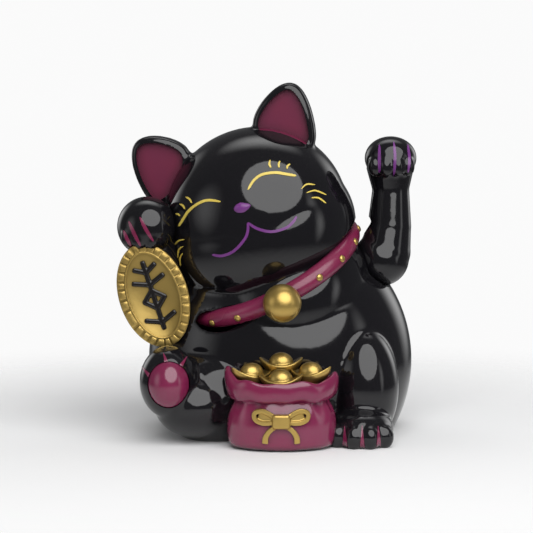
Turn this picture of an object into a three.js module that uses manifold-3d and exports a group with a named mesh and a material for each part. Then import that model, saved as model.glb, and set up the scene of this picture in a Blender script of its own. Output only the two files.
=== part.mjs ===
// Beckoning cat figurine, 150 mm tall: a seated cat with one battery-driven waving arm.
// Millimetres. +Z up, the face looks along -Y, the base plate's underside is z = 0.
import * as THREE from "three";
import { mergeVertices } from "three/addons/utils/BufferGeometryUtils.js";
import Module from "manifold-3d";

// ---------- driving dimensions ----------
const GAP = 0.3; // clearance between neighbouring pieces
const WALL = 2.2; // shell thickness
const SEAM_Y = -2; // front and rear shells part here, and the arm's axle lies on this plane

const BODY = { at: [3.6, 4, 30], radii: [57.6, 44, 60] };
const HEAD = { at: [-6.5, -5, 94], radii: [39.7, 36, 38], roll: 21, yaw: 8 };
const EAR = {
  reach: 35, height: 47.5, foot: 16, root: 11, tip: 4.2, thick: 9, face: 2.2, rim: 2.6, bevel: 1.6,
  shift: -2.5, forward: -2,
};
const JAW = { at: [-0.7, 0, -8], radii: [41.4, 36, 34.2] }; // in the head's own frame
const NECK = { radii: [39.5, 38.5, 31], drop: 12 };
const HAUNCH = { at: [-24, -22, 18], radii: [26, 22, 21] };
const HEEL = { at: [-33, -32, 16], radii: [17, 17, 14] };
const RAISED_FOOT = { at: [-43.4, -39, 26.5], radii: [12.2, 13, 15.3] };
const LEG = { at: [39, -24, 22], radii: [15, 17, 25] };
const FOOT = { at: [37.6, -38, 6.6], radii: [13.6, 15, 8.6] };

const COLLAR = { at: [0.1, -3, 70.1], ring: 37.6, tube: 4.1, roll: 27.3, pitch: 13.4 };
const BELL = { radius: 8, slot: 1.8, forward: 6.5, drop: 2 };

const PAW = { at: [-53.3, -17, 90], radius: 12.8 };
const FOREARM = { shoulder: [-40, -8, 62], shoulderRadius: 9.5, wristRadius: 9 };
const COIN = {
  at: [-50.3, -24, 61.4], half: [14.6, 22.6], thick: 4.6, bevel: 0.7, tilt: 18, rim: 3.9, recess: 1.2,
};
const MOTIF = {
  thick: 1.5, stroke: 1.6, reach: 8, length: 27, steps: 3, pitch: 4, diamond: 5,
  slant: 28, shrink: 0.2, lift: -1,
};

const BAG = {
  at: [3.9, -46], halfWidth: 22.8, depthShare: 0.62, height: 29, neck: 19.4, cuff: 23.2, fill: 25,
};
const INGOT = { half: [9, 6, 4.2], dome: 4.6, rise: 3 };
const INGOT_PLACES = {
  ingot_back: { at: [3.7, -41, 34], yaw: 0 },
  ingot_left: { at: [-8.6, -46.5, 30.2], yaw: -24 },
  ingot_right: { at: [16, -46.5, 30.8], yaw: 22 },
  ingot_front: { at: [3.4, -52.5, 28.6], yaw: 4 },
};
const BOW = {
  at: [3.4, 13.4], loop: [10, 5.4], tail: [10, 3.4], knot: [3.6, 3], thick: 4, lift: 12, fall: 35,
};

const BALL = { radius: 12, clearance: 0.9, height: 75, tuck: 2.11 }; // tuck: its reach under the collar
const ARM = {
  wrist: [51.4, 105], wristRadius: 8, paw: [51.1, 118.6], pawRadii: [11.2, 10.4, 9.4], pawForward: 2,
  wall: 1.8, swing: 22,
};
const AXLE = { radius: 1.25, grip: 4.5, end: -10, clip: 2.6, clipThick: 1, hub: 3.2 };
const LEVER = { x: 11.5, hub: 4, width: 6, thick: 3 };
const WEIGHT = { radius: 7.5, height: 7 };
const MAGNET = { radius: 6, height: 4, clear: 1.9 }; // clear: over the coil and the battery box

const BASE = { rim: 3, thick: 3 };
const CELL = { radius: 7.25, length: 50.5, button: 2.75, buttonLength: 1.4 };
const BOX = { wall: 1.5, spring: 6.5, roof: 1.5, clear: 0.95 }; // clear: from the coil's flange
const SPRING = { wire: 0.4, radius: 4.2, taper: 0.35, turns: 4, length: 4.2 };
const CONTACT = { thick: 0.5, half: 5, tab: 2, tabRise: 2.5 };
const WIRE = { radius: 0.6, fall: 4.5 };
const CHIP = { half: [1.8, 3], height: 1.8, forward: 1 };
const CAPACITOR = { radius: 1.8, height: 6 };
const DOOR = { thick: 1.8, recess: 0.4, lip: 1.6, latch: 9 };
const FRAME = { posts: [-4, 27], post: [3, 12], crown: 4.2, floor: 2, reachY: 9, screwReach: 6 };
const BOARD = { half: [13, 8], thick: 1.6, peg: 1.6, tip: 0.9, lift: 2, margin: 2 };
const COIL = { radius: 6.6, core: 2.6, flange: 7.4, flangeThick: 1, height: 11 };
const SCREW = { radius: 1.3, head: 2.7, headHeight: 1.6, boss: 3.4, inset: 5.4, length: 10, rib: 12 };
const BOSS_ANGLES = [13, 167, 216, 324]; // degrees round the base plate, from +X

// ---------- solids ----------
const wasm = await Module();
wasm.setup();
const { degToRad } = THREE.MathUtils;

function solid(geometry) {
  const bare = geometry.clone();
  bare.deleteAttribute("normal");
  bare.deleteAttribute("uv");
  const merged = mergeVertices(bare, 1e-4);
  return new wasm.Manifold(
    new wasm.Mesh({
      numProp: 3,
      vertProperties: merged.attributes.position.array,
      triVerts: new Uint32Array(merged.index.array),
    }),
  );
}

function geometryOf(shape) {
  const mesh = shape.getMesh();
  const geometry = new THREE.BufferGeometry();
  geometry.setAttribute("position", new THREE.BufferAttribute(mesh.vertProperties, 3));
  geometry.setIndex(new THREE.BufferAttribute(mesh.triVerts, 1));
  const faceted = geometry.toNonIndexed();
  faceted.computeVertexNormals();
  return faceted;
}

const join = (...shapes) => shapes.reduce((sum, shape) => sum.add(shape));
const cut = (shape, ...tools) => tools.reduce((left, tool) => left.subtract(tool), shape);

const turned = (yaw = 0, roll = 0, pitch = 0) =>
  new THREE.Matrix4()
    .makeRotationY(degToRad(-roll))
    .multiply(new THREE.Matrix4().makeRotationX(degToRad(pitch)))
    .multiply(new THREE.Matrix4().makeRotationZ(degToRad(-yaw)));

function placed(geometry, at, turn = new THREE.Matrix4()) {
  return solid(geometry.applyMatrix4(turn).translate(...at));
}

function ellipsoid(at, radii, { turn, around = 14, rings = 10 } = {}) {
  const ball = new THREE.SphereGeometry(1, around, rings).rotateX(Math.PI / 2).scale(...radii);
  return placed(ball, at, turn);
}

function box(low, high) {
  const size = high.map((value, i) => value - low[i]);
  const middle = high.map((value, i) => (value + low[i]) / 2);
  return placed(new THREE.BoxGeometry(...size), middle);
}

// A round bar from one point to another, with its own radius at each end.
function rod(from, to, radius, endRadius = radius, around = 10) {
  const start = new THREE.Vector3(...from);
  const way = new THREE.Vector3(...to).sub(start);
  const turn = new THREE.Matrix4().makeRotationFromQuaternion(
    new THREE.Quaternion().setFromUnitVectors(new THREE.Vector3(0, 1, 0), way.clone().normalize()),
  );
  const bar = new THREE.CylinderGeometry(endRadius, radius, way.length(), around);
  return placed(bar, start.addScaledVector(way, 0.5).toArray(), turn);
}

const limb = (from, fromRadius, to, toRadius) =>
  join(
    rod(from, to, fromRadius, toRadius),
    ellipsoid(from, [fromRadius, fromRadius, fromRadius], { around: 14, rings: 8 }),
    ellipsoid(to, [toRadius, toRadius, toRadius], { around: 14, rings: 8 }),
  );

// A flat outline in x and z, thick along y, centred on y = 0.
function slab(shape, thick, bevel = 0, curveSegments = 5) {
  const geometry = new THREE.ExtrudeGeometry(shape, {
    depth: thick - 2 * bevel,
    bevelEnabled: bevel > 0,
    bevelSize: bevel,
    bevelThickness: bevel,
    bevelSegments: 1,
    bevelOffset: -bevel,
    curveSegments,
  });
  return geometry.translate(0, 0, bevel - thick / 2).rotateX(Math.PI / 2);
}

function oval(halfX, halfY) {
  const shape = new THREE.Shape();
  shape.absellipse(0, 0, halfX, halfY, 0, 2 * Math.PI);
  return shape;
}

const grown = (radii, by) => radii.map((radius) => radius + by);
const FAR = 200;
const below = (z) => box([-FAR, -FAR, -FAR], [FAR, FAR, z]);
const inFront = (y) => box([-FAR, -FAR, -FAR], [FAR, y, FAR]);
const behind = (y) => box([-FAR, y, -FAR], [FAR, FAR, FAR]);

// ---------- pieces of the group ----------
const cat = new THREE.Group();
const FINISHES = {
  black: [0x0b0b0d, 0.12, 0],
  plum: [0x6e2148, 0.22, 0],
  gold: [0xb8923a, 0.38, 0.55],
  white: [0xe6e4dc, 0.6, 0],
  steel: [0xb9bcc0, 0.3, 1],
  magnet: [0x5d6066, 0.35, 1],
  copper: [0xb4622c, 0.35, 0.9],
  board: [0x2f6b3a, 0.5, 0],
  chip: [0x1c1c1e, 0.5, 0],
  cell: [0x3c5a86, 0.35, 0.2],
  redWire: [0xb02020, 0.5, 0],
  blackWire: [0x161616, 0.5, 0],
};

function piece(name, shape, finish) {
  const [color, roughness, metalness] = FINISHES[finish];
  const mesh = new THREE.Mesh(
    geometryOf(shape),
    new THREE.MeshStandardMaterial({ color, roughness, metalness }),
  );
  mesh.name = name;
  cat.add(mesh);
}

// ---------- the figure: head, ears, neck, body and legs as one outline ----------
const headTurn = turned(HEAD.yaw, HEAD.roll);
const collarTurn = turned(0, COLLAR.roll, COLLAR.pitch);
const neckAt = new THREE.Vector3(0, 0, -NECK.drop)
  .applyMatrix4(collarTurn)
  .add(new THREE.Vector3(...COLLAR.at))
  .toArray();
const jawAt = new THREE.Vector3(...JAW.at)
  .applyMatrix4(headTurn)
  .add(new THREE.Vector3(...HEAD.at))
  .toArray();

// One ear's outline in the head's own frame, pulled in by `inset` all round.
function earOutline(side, inset = 0) {
  const tipX = EAR.reach - EAR.tip / 2;
  const tipZ = EAR.height - EAR.tip;
  const tipRadius = EAR.tip - inset / 2;
  const tipStart = degToRad(120);
  const tipEnd = degToRad(5);
  const outline = new THREE.Path();
  outline.moveTo(EAR.root + inset, EAR.foot + EAR.root + inset);
  outline.quadraticCurveTo(
    EAR.reach / 2 + inset,
    tipZ - inset,
    tipX + tipRadius * Math.cos(tipStart),
    tipZ + tipRadius * Math.sin(tipStart),
  );
  outline.absarc(tipX, tipZ, tipRadius, tipStart, tipEnd, true);
  outline.quadraticCurveTo(EAR.reach + 7 - inset, EAR.foot + 14, EAR.reach + 1 - inset, EAR.foot - 2 + inset);
  return new THREE.Shape(outline.getPoints(5).map((point) => new THREE.Vector2(side * point.x, point.y)));
}

function ear(side, grow) {
  const toHead = (geometry) => {
    const local = geometry.translate(EAR.shift, EAR.forward, 0);
    return placed(local, HEAD.at, headTurn);
  };
  const body = toHead(slab(earOutline(side, -grow), EAR.thick + 2 * grow, EAR.bevel));
  const face = slab(earOutline(side, EAR.rim), 2 * EAR.face).translate(0, -EAR.thick / 2, 0);
  return cut(body, toHead(face));
}

const LARGE = { around: 20, rings: 12 };
function figure(grow = 0) {
  const fat = (part, size = {}) => ellipsoid(part.at, grown(part.radii, grow), size);
  return join(
    fat(BODY, LARGE),
    fat(HEAD, { ...LARGE, turn: headTurn }),
    ellipsoid(jawAt, grown(JAW.radii, grow), { ...LARGE, turn: headTurn }),
    ellipsoid(neckAt, grown(NECK.radii, grow), { ...LARGE, turn: collarTurn }),
    ear(1, grow),
    ear(-1, grow),
    fat(HAUNCH),
    fat(HEEL),
    fat(RAISED_FOOT),
    fat(LEG),
    fat(FOOT),
  );
}

const collarTorus = (tube, around = 32, sides = 8) =>
  placed(new THREE.TorusGeometry(COLLAR.ring, tube, sides, around), COLLAR.at, collarTurn);
const collarEnd = new THREE.Vector3(COLLAR.ring, 0, 0).applyMatrix4(collarTurn).x + COLLAR.at[0];
const PIVOT = { x: collarEnd + COLLAR.tube + BALL.radius - BALL.tuck, z: BALL.height };
const pivot = [PIVOT.x, SEAM_Y, PIVOT.z];

// The shoulder slot clears the arm's ball and forearm over the whole swing.
const forearm = (grow, angle = 0) => {
  const [wristX, wristZ] = ARM.wrist;
  const reach = wristZ - PIVOT.z;
  const turn = degToRad(angle);
  const wrist = [wristX, SEAM_Y - reach * Math.sin(turn), PIVOT.z + reach * Math.cos(turn)];
  return limb(pivot, BALL.radius + grow, wrist, ARM.wristRadius + grow);
};
const shoulderSlot = join(...[-ARM.swing, 0, ARM.swing].map((angle) => forearm(BALL.clearance, angle)));

const axleTip = PIVOT.x + AXLE.grip;
const axleBar = (radius, from = AXLE.end, to = axleTip) =>
  rod([from, SEAM_Y, PIVOT.z], [to, SEAM_Y, PIVOT.z], radius, radius, 12);

const INSIDE = { around: 18, rings: 10 };
const cavity = cut(
  join(
    ellipsoid(BODY.at, grown(BODY.radii, -WALL), INSIDE),
    ellipsoid(HEAD.at, grown(HEAD.radii, -WALL), { turn: headTurn, ...INSIDE }),
    ellipsoid(jawAt, grown(JAW.radii, -WALL), { turn: headTurn, ...INSIDE }),
    ellipsoid(neckAt, grown(NECK.radii, -WALL), { turn: collarTurn, ...INSIDE }),
  ),
  collarTorus(COLLAR.tube + GAP + WALL, 24, 8),
);

// The body is cut off level at the bottom; the base plate fills that oval up to the shells' rim.
const footShare = Math.sqrt(1 - (BODY.at[2] / BODY.radii[2]) ** 2);
const baseHalf = BODY.radii.slice(0, 2).map((radius) => radius * footShare - BASE.rim);
const bossPlaces = BOSS_ANGLES.map((angle) => [
  BODY.at[0] + (baseHalf[0] - SCREW.inset) * Math.cos(degToRad(angle)),
  BODY.at[1] + (baseHalf[1] - SCREW.inset) * Math.sin(degToRad(angle)),
]);

// Screw bosses stand on the base plate and run out to the shell's wall on a rib.
const seatZ = BASE.thick + GAP;
function boss([x, y]) {
  const outwards = new THREE.Vector2(x - BODY.at[0], y - BODY.at[1]).setLength(SCREW.rib);
  const pillar = rod([x, y, seatZ], [x, y, seatZ + SCREW.length], SCREW.boss);
  const ribEnd = [x + outwards.x, y + outwards.y, seatZ + SCREW.length];
  const rib = rod([x, y, seatZ + SCREW.boss], ribEnd, SCREW.boss / 2);
  return join(pillar, rib);
}
const bosses = join(...bossPlaces.map(boss)).intersect(ellipsoid(BODY.at, grown(BODY.radii, -WALL / 2)));
const bossHoles = join(
  ...bossPlaces.map(([x, y]) => rod([x, y, -1], [x, y, seatZ + SCREW.length - WALL / 2], SCREW.radius + GAP)),
);

// The base plate lies in the shells' open bottom.
const basePlate = (spare = 0) =>
  placed(
    new THREE.ExtrudeGeometry(oval(baseHalf[0] + spare, baseHalf[1] + spare), {
      depth: BASE.thick + 2 * spare,
      bevelEnabled: false,
      curveSegments: 20,
    }),
    [BODY.at[0], BODY.at[1], -spare],
  );
const shell = cut(
  join(cut(figure(), cavity), bosses),
  basePlate(GAP),
  bossHoles,
  axleBar(AXLE.radius + 2 * GAP),
  collarTorus(COLLAR.tube + GAP),
  shoulderSlot,
  below(0),
);
piece("front_shell", shell.intersect(inFront(SEAM_Y - GAP / 2)), "black");
piece("rear_shell", shell.intersect(behind(SEAM_Y + GAP / 2)), "black");

// ---------- raised paw, its forearm and the coin it holds ----------
const outline = figure(GAP);
const coinTurn = turned(0, COIN.tilt);

function coinSolid(grow = 0) {
  const disc = slab(oval(COIN.half[0] + grow, COIN.half[1] + grow), COIN.thick + 2 * grow, COIN.bevel, 20);
  return placed(disc, COIN.at, coinTurn);
}
const coinRecess = placed(
  slab(oval(COIN.half[0] - COIN.rim, COIN.half[1] - COIN.rim), 2 * COIN.recess, 0, 20)
    .translate(0, -COIN.thick / 2, 0),
  COIN.at,
  coinTurn,
);
const holdingArm = join(
  limb(FOREARM.shoulder, FOREARM.shoulderRadius, PAW.at, FOREARM.wristRadius),
  ellipsoid(PAW.at, [PAW.radius, PAW.radius, PAW.radius]),
);
const collarRoom = collarTorus(COLLAR.tube + GAP);
piece("holding_arm", cut(holdingArm, outline, coinSolid(GAP), collarRoom), "black");
piece("coin", cut(coinSolid(), coinRecess, outline, collarRoom), "gold");

// The coin's raised emblem: a stem with leaf-like bars either side of a diamond.
function emblem() {
  const stem = new THREE.BoxGeometry(MOTIF.stroke, MOTIF.thick, MOTIF.length);
  const diamond = new THREE.BoxGeometry(MOTIF.diamond, MOTIF.thick, MOTIF.diamond).rotateY(Math.PI / 4);
  const bars = [];
  for (const side of [-1, 1])
    for (let step = 1; step <= MOTIF.steps; step += 1)
      for (const half of [-1, 1]) {
        const reach = MOTIF.reach * (1 - (step - 1) * MOTIF.shrink);
        const bar = new THREE.BoxGeometry(reach, MOTIF.thick, MOTIF.stroke);
        bar.translate((side * reach) / 2, 0, 0).rotateY(degToRad(-side * MOTIF.slant));
        bars.push(bar.translate(0, 0, half * step * MOTIF.pitch + MOTIF.lift));
      }
  const y = -COIN.thick / 2 + COIN.recess - GAP - MOTIF.thick / 2;
  return join(...[stem, diamond, ...bars].map((g) => placed(g.translate(0, y, 0), COIN.at, coinTurn)));
}
piece("coin_emblem", cut(emblem(), outline), "black");

// ---------- collar and bell ----------
piece("collar", collarTorus(COLLAR.tube), "plum");
const collarFront = new THREE.Vector3(0, -COLLAR.ring, 0).applyMatrix4(collarTurn).toArray();
const bellAt = [
  COLLAR.at[0] + collarFront[0],
  COLLAR.at[1] + collarFront[1] - BELL.forward,
  COLLAR.at[2] + collarFront[2] - BELL.drop,
];
const bellSlot = placed(
  new THREE.BoxGeometry(BELL.radius * 1.7, BELL.radius, BELL.slot)
    .translate(0, -BELL.radius, -BELL.radius * 0.45)
    .rotateY(degToRad(-COLLAR.roll)),
  bellAt,
);
const bell = ellipsoid(bellAt, [BELL.radius, BELL.radius, BELL.radius]);
piece("bell", cut(bell, bellSlot, collarRoom, outline), "gold");

// ---------- money bag, ingots and bow ----------
function bagSolid(grow = 0) {
  const { halfWidth, height, neck, cuff, fill } = BAG;
  const profile = [
    [0, -grow],
    [halfWidth * 0.86 + grow, -grow],
    [halfWidth * 0.97 + grow, height * 0.1],
    [halfWidth + grow, height * 0.3],
    [halfWidth * 0.98 + grow, height * 0.5],
    [neck + grow, height * 0.68],
    [cuff * 0.97 + grow, height * 0.76],
    [cuff + grow, height * 0.96],
    [cuff * 0.95, height + grow],
    [cuff * 0.86, height],
    [cuff * 0.82, fill],
    [0, fill + grow],
  ].map(([x, y]) => new THREE.Vector2(x, y));
  const pouch = new THREE.LatheGeometry(profile, 28).rotateX(Math.PI / 2).scale(1, BAG.depthShare, 1);
  return placed(pouch, [BAG.at[0], BAG.at[1], 0]);
}

function ingotSolid({ at, yaw }, grow = 0) {
  const [halfX, halfY, halfZ] = grown(INGOT.half, grow);
  const turn = turned(yaw);
  const boat = ellipsoid(at, [halfX, halfY, halfZ], { turn, around: 14, rings: 6 });
  const dome = ellipsoid(
    [at[0], at[1], at[2] + INGOT.rise],
    [INGOT.dome + grow, (INGOT.dome + grow) * 0.9, INGOT.dome * 0.75 + grow],
    { around: 10, rings: 6 },
  );
  return join(boat, dome);
}

const ingots = Object.entries(INGOT_PLACES);
piece("money_bag", cut(bagSolid(), outline, ...ingots.map(([, place]) => ingotSolid(place, GAP))), "plum");
ingots.forEach(([name, place], index) => {
  const earlier = ingots.slice(0, index).map(([, other]) => ingotSolid(other, GAP));
  piece(name, cut(ingotSolid(place), outline, ...earlier), "gold");
});

// The bow lies against the front of the bag, whose width sets how far forward it is.
function bowSolid() {
  const [x, z] = BOW.at;
  const y = BAG.at[1] - BAG.halfWidth * BAG.depthShare;
  const parts = [ellipsoid([x, y, z], [BOW.knot[0], BOW.thick, BOW.knot[1]], { around: 12, rings: 8 })];
  for (const side of [-1, 1]) {
    const [loopX, loopZ] = BOW.loop;
    const [tailX, tailZ] = BOW.tail;
    const loop = slab(oval(loopX / 2 + 1, loopZ / 2), BOW.thick, 0.5);
    const tail = slab(oval(tailX / 2, tailZ / 2), BOW.thick, 0.5);
    parts.push(
      placed(loop, [x + side * (loopX / 2 + 1.6), y, z + 0.6], turned(0, side * BOW.lift)),
      placed(tail, [x + side * 4.6, y, z - 4], turned(0, -side * BOW.fall)),
    );
  }
  return join(...parts);
}
piece("bow", cut(bowSolid(), bagSolid(GAP)), "gold");

// ---------- waving arm: two hollow halves on a steel axle, with its pendulum ----------
function armSolid(inset = 0) {
  const [pawX, pawZ] = ARM.paw;
  return join(
    forearm(-inset),
    ellipsoid([pawX, SEAM_Y - ARM.pawForward, pawZ], grown(ARM.pawRadii, -inset)),
  );
}
const armHub = axleBar(AXLE.hub, PIVOT.x - BALL.radius, axleTip + ARM.wall);
const armHollow = cut(armSolid(ARM.wall), armHub);
const arm = cut(armSolid(), armHollow, axleBar(AXLE.radius + GAP, AXLE.end, axleTip + GAP));
piece("waving_arm_front", arm.intersect(inFront(SEAM_Y - GAP / 2)), "black");
piece("waving_arm_rear", arm.intersect(behind(SEAM_Y + GAP / 2)), "black");
piece("arm_axle", axleBar(AXLE.radius), "steel");

const clipAt = (x) => cut(axleBar(AXLE.clip, x, x + AXLE.clipThick), axleBar(AXLE.radius + GAP));
const [innerPost, outerPost] = FRAME.posts;
const postHalf = FRAME.post[0] / 2;
piece("axle_clip_inner", clipAt(innerPost - postHalf - GAP - AXLE.clipThick), "steel");
piece("axle_clip_outer", clipAt(outerPost - postHalf - GAP - AXLE.clipThick), "steel");

// ---------- base plate with the battery box, its door and the cell ----------
const room = {
  x: (CELL.length + CELL.buttonLength + BOX.spring) / 2 + GAP,
  y: CELL.radius + GAP,
  top: DOOR.recess + DOOR.thick + 2 * GAP + 2 * CELL.radius,
};
const door = { x: room.x, y: room.y + DOOR.lip, low: DOOR.recess, high: DOOR.recess + DOOR.thick };
const boxX = BODY.at[0];
const boxY = SEAM_Y + COIL.flange + BOX.clear + BOX.wall + door.y;
const hinge = { y: boxY - door.y, z: door.low + DOOR.thick / 2 };

const boxRoom = box([boxX - room.x, boxY - room.y, -1], [boxX + room.x, boxY + room.y, room.top]);
const boxWalls = box(
  [boxX - room.x - BOX.wall, boxY - door.y - BOX.wall, 0.5],
  [boxX + room.x + BOX.wall, boxY + door.y + BOX.wall, room.top + BOX.roof],
);
const doorRoom = box(
  [boxX - door.x - GAP, boxY - door.y - DOOR.thick / 2 - GAP, -1],
  [boxX + door.x + GAP, boxY + door.y + GAP, door.high + GAP],
);
const screwWay = ([x, y]) =>
  join(
    rod([x, y, -1], [x, y, BASE.thick + 1], SCREW.radius + GAP),
    rod([x, y, -1], [x, y, SCREW.headHeight + 2 * GAP], SCREW.head + GAP),
  );
const cellZ = door.high + 2 * GAP + CELL.radius;
const contactX = { negative: boxX - room.x + GAP / 2, positive: boxX + room.x - CONTACT.thick - GAP / 2 };
const contactTop = room.top + BOX.roof + CONTACT.tabRise;
const contact = (x, spare = 0) =>
  join(
    box(
      [x - spare, boxY - CONTACT.half - spare, cellZ - CONTACT.half - spare],
      [x + CONTACT.thick + spare, boxY + CONTACT.half + spare, cellZ + CONTACT.half + spare],
    ),
    box(
      [x - spare, boxY - CONTACT.tab - spare, cellZ],
      [x + CONTACT.thick + spare, boxY + CONTACT.tab + spare, contactTop + spare],
    ),
  );
const frameFloor = BASE.thick + GAP;
const frameScrews = [-1, 1].map((side) => [LEVER.x + side * FRAME.screwReach, SEAM_Y - FRAME.screwReach]);
const frameScrewWay = ([x, y]) => rod([x, y, BASE.thick / 3], [x, y, FAR / 10], SCREW.radius + GAP);
piece(
  "base_plate",
  cut(
    join(basePlate(), boxWalls),
    boxRoom,
    doorRoom,
    contact(contactX.negative, GAP),
    contact(contactX.positive, GAP),
    ...bossPlaces.map(screwWay),
    ...frameScrews.map(frameScrewWay),
  ),
  "white",
);

const latchNotch = box(
  [boxX - DOOR.latch / 2, boxY + door.y - 1.4, -1],
  [boxX + DOOR.latch / 2, boxY + door.y + 1, door.low + DOOR.thick / 2],
);
const doorLeaf = join(
  box([boxX - door.x, hinge.y, door.low], [boxX + door.x, boxY + door.y, door.high]),
  rod([boxX - door.x, hinge.y, hinge.z], [boxX + door.x, hinge.y, hinge.z], DOOR.thick / 2),
);
piece("battery_door", cut(doorLeaf, latchNotch), "white");

const cellEnd = boxX - room.x + BOX.spring;
const cellFace = cellEnd + CELL.length;
piece(
  "battery_cell",
  join(
    rod([cellEnd, boxY, cellZ], [cellFace, boxY, cellZ], CELL.radius - GAP, CELL.radius - GAP, 28),
    rod([cellFace - 1, boxY, cellZ], [cellFace + CELL.buttonLength - GAP, boxY, cellZ], CELL.button),
  ),
  "cell",
);

// Contacts: a coiled spring for the negative end, a bent plate for the positive end.
class Helix extends THREE.Curve {
  getPoint(t, point = new THREE.Vector3()) {
    const angle = 2 * Math.PI * SPRING.turns * t;
    const radius = SPRING.radius * (1 - SPRING.taper * t);
    const x = contactX.negative + CONTACT.thick + SPRING.wire + GAP + SPRING.length * t;
    return point.set(x, boxY + radius * Math.cos(angle), cellZ + radius * Math.sin(angle));
  }
}
const ring = new THREE.Shape();
ring.absarc(0, 0, SPRING.wire, 0, 2 * Math.PI);
const coils = new THREE.ExtrudeGeometry(ring, {
  extrudePath: new Helix(),
  steps: SPRING.turns * 10,
  curveSegments: 3,
  bevelEnabled: false,
});
piece("contact_spring", placed(coils, [0, 0, 0]), "steel");
piece("contact_plate_negative", contact(contactX.negative), "steel");
piece("contact_plate_positive", contact(contactX.positive), "steel");

// ---------- mechanism frame, circuit board and drive coil ----------
function post(x) {
  const half = FRAME.post[1] / 2;
  return join(
    box([x - postHalf, SEAM_Y - half, frameFloor], [x + postHalf, SEAM_Y + half, PIVOT.z]),
    rod([x - postHalf, SEAM_Y, PIVOT.z], [x + postHalf, SEAM_Y, PIVOT.z], FRAME.crown, FRAME.crown, 24),
  );
}
const frameFoot = box(
  [innerPost - postHalf, SEAM_Y - FRAME.reachY, frameFloor],
  [outerPost + postHalf, boxY - door.y - BOX.wall - GAP, frameFloor + FRAME.floor],
);
const pegPlaces = [-1, 1].flatMap((sideX) =>
  [-1, 1].map((sideY) => [
    LEVER.x + sideX * (BOARD.half[0] - BOARD.margin),
    SEAM_Y + sideY * (BOARD.half[1] - BOARD.margin),
  ]),
);
const boardLow = frameFloor + FRAME.floor + BOARD.lift + GAP;
const boardHigh = boardLow + BOARD.thick;
const pegs = pegPlaces.flatMap(([x, y]) => [
  rod([x, y, frameFloor], [x, y, boardLow - GAP], BOARD.peg, BOARD.peg, 12),
  rod([x, y, frameFloor], [x, y, boardHigh + BOARD.tip], BOARD.tip, BOARD.tip, 12),
]);
piece(
  "mechanism_frame",
  cut(
    join(frameFoot, post(innerPost), post(outerPost), ...pegs),
    axleBar(AXLE.radius + GAP),
    ...frameScrews.map(frameScrewWay),
  ),
  "white",
);

const [boardX, boardY] = BOARD.half;
const boardPlate = box(
  [LEVER.x - boardX, SEAM_Y - boardY, boardLow],
  [LEVER.x + boardX, SEAM_Y + boardY, boardHigh],
);
const pegRoom = BOARD.tip + GAP;
const pegHoles = pegPlaces.map(([x, y]) =>
  rod([x, y, boardLow - 1], [x, y, boardHigh + 1], pegRoom, pegRoom, 12),
);
piece("circuit_board", cut(boardPlate, ...pegHoles), "board");

// Coil bobbin and winding share one axis with the pendulum at rest.
const coilLow = boardHigh + GAP;
const onCoilAxis = (profile) =>
  placed(
    new THREE.LatheGeometry(profile.map(([x, y]) => new THREE.Vector2(x, y)), 28).rotateX(Math.PI / 2),
    [LEVER.x, SEAM_Y, coilLow],
  );
const { core, flange, flangeThick, height: coilHeight } = COIL;
const bobbin = onCoilAxis([
  [0, 0],
  [flange, 0],
  [flange, flangeThick],
  [core, flangeThick],
  [core, coilHeight - flangeThick],
  [flange, coilHeight - flangeThick],
  [flange, coilHeight],
  [0, coilHeight],
]);
const winding = onCoilAxis([
  [core + GAP, flangeThick + GAP],
  [COIL.radius, flangeThick + GAP],
  [COIL.radius, coilHeight - flangeThick - GAP],
  [core + GAP, coilHeight - flangeThick - GAP],
  [core + GAP, flangeThick + GAP],
]);
piece("coil_bobbin", bobbin, "white");
piece("drive_coil", winding, "copper");

// ---------- pendulum under the axle: lever, weight and magnet ----------
const magnetLow = Math.max(coilLow + coilHeight, room.top + BOX.roof) + MAGNET.clear;
const magnetTop = magnetLow + MAGNET.height;
const weightLow = magnetTop + GAP;
const weightTop = weightLow + WEIGHT.height;
const leverEnd = weightTop + GAP;
const lever = cut(
  join(
    axleBar(LEVER.hub, LEVER.x - LEVER.thick, LEVER.x + LEVER.thick),
    box(
      [LEVER.x - LEVER.thick / 2, SEAM_Y - LEVER.width / 2, leverEnd],
      [LEVER.x + LEVER.thick / 2, SEAM_Y + LEVER.width / 2, PIVOT.z],
    ),
  ),
  axleBar(AXLE.radius + GAP),
);
piece("pendulum_lever", lever, "white");
const pendulumDisc = (radius, low, high) =>
  rod([LEVER.x, SEAM_Y, low], [LEVER.x, SEAM_Y, high], radius, radius, 28);
piece("pendulum_weight", pendulumDisc(WEIGHT.radius, weightLow, weightTop), "steel");
piece("pendulum_magnet", pendulumDisc(MAGNET.radius, magnetLow, magnetTop), "magnet");

// ---------- what sits on the board ----------
const chipX = LEVER.x + (flange + boardX) / 2;
const partZ = boardHigh + GAP;
piece(
  "driver_chip",
  box(
    [chipX - CHIP.half[0], SEAM_Y - CHIP.forward - CHIP.half[1], partZ],
    [chipX + CHIP.half[0], SEAM_Y - CHIP.forward + CHIP.half[1], partZ + CHIP.height],
  ),
  "chip",
);
const capacitorX = LEVER.x - (flange + boardX) / 2;
piece(
  "capacitor",
  rod([capacitorX, SEAM_Y, partZ], [capacitorX, SEAM_Y, partZ + CAPACITOR.height], CAPACITOR.radius),
  "blackWire",
);

function wire(points) {
  const path = new THREE.CatmullRomCurve3(points.map((point) => new THREE.Vector3(...point)));
  const section = new THREE.Shape();
  section.absarc(0, 0, WIRE.radius, 0, 2 * Math.PI);
  const settings = { extrudePath: path, steps: 20, curveSegments: 3, bevelEnabled: false };
  return placed(new THREE.ExtrudeGeometry(section, settings), [0, 0, 0]);
}
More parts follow.
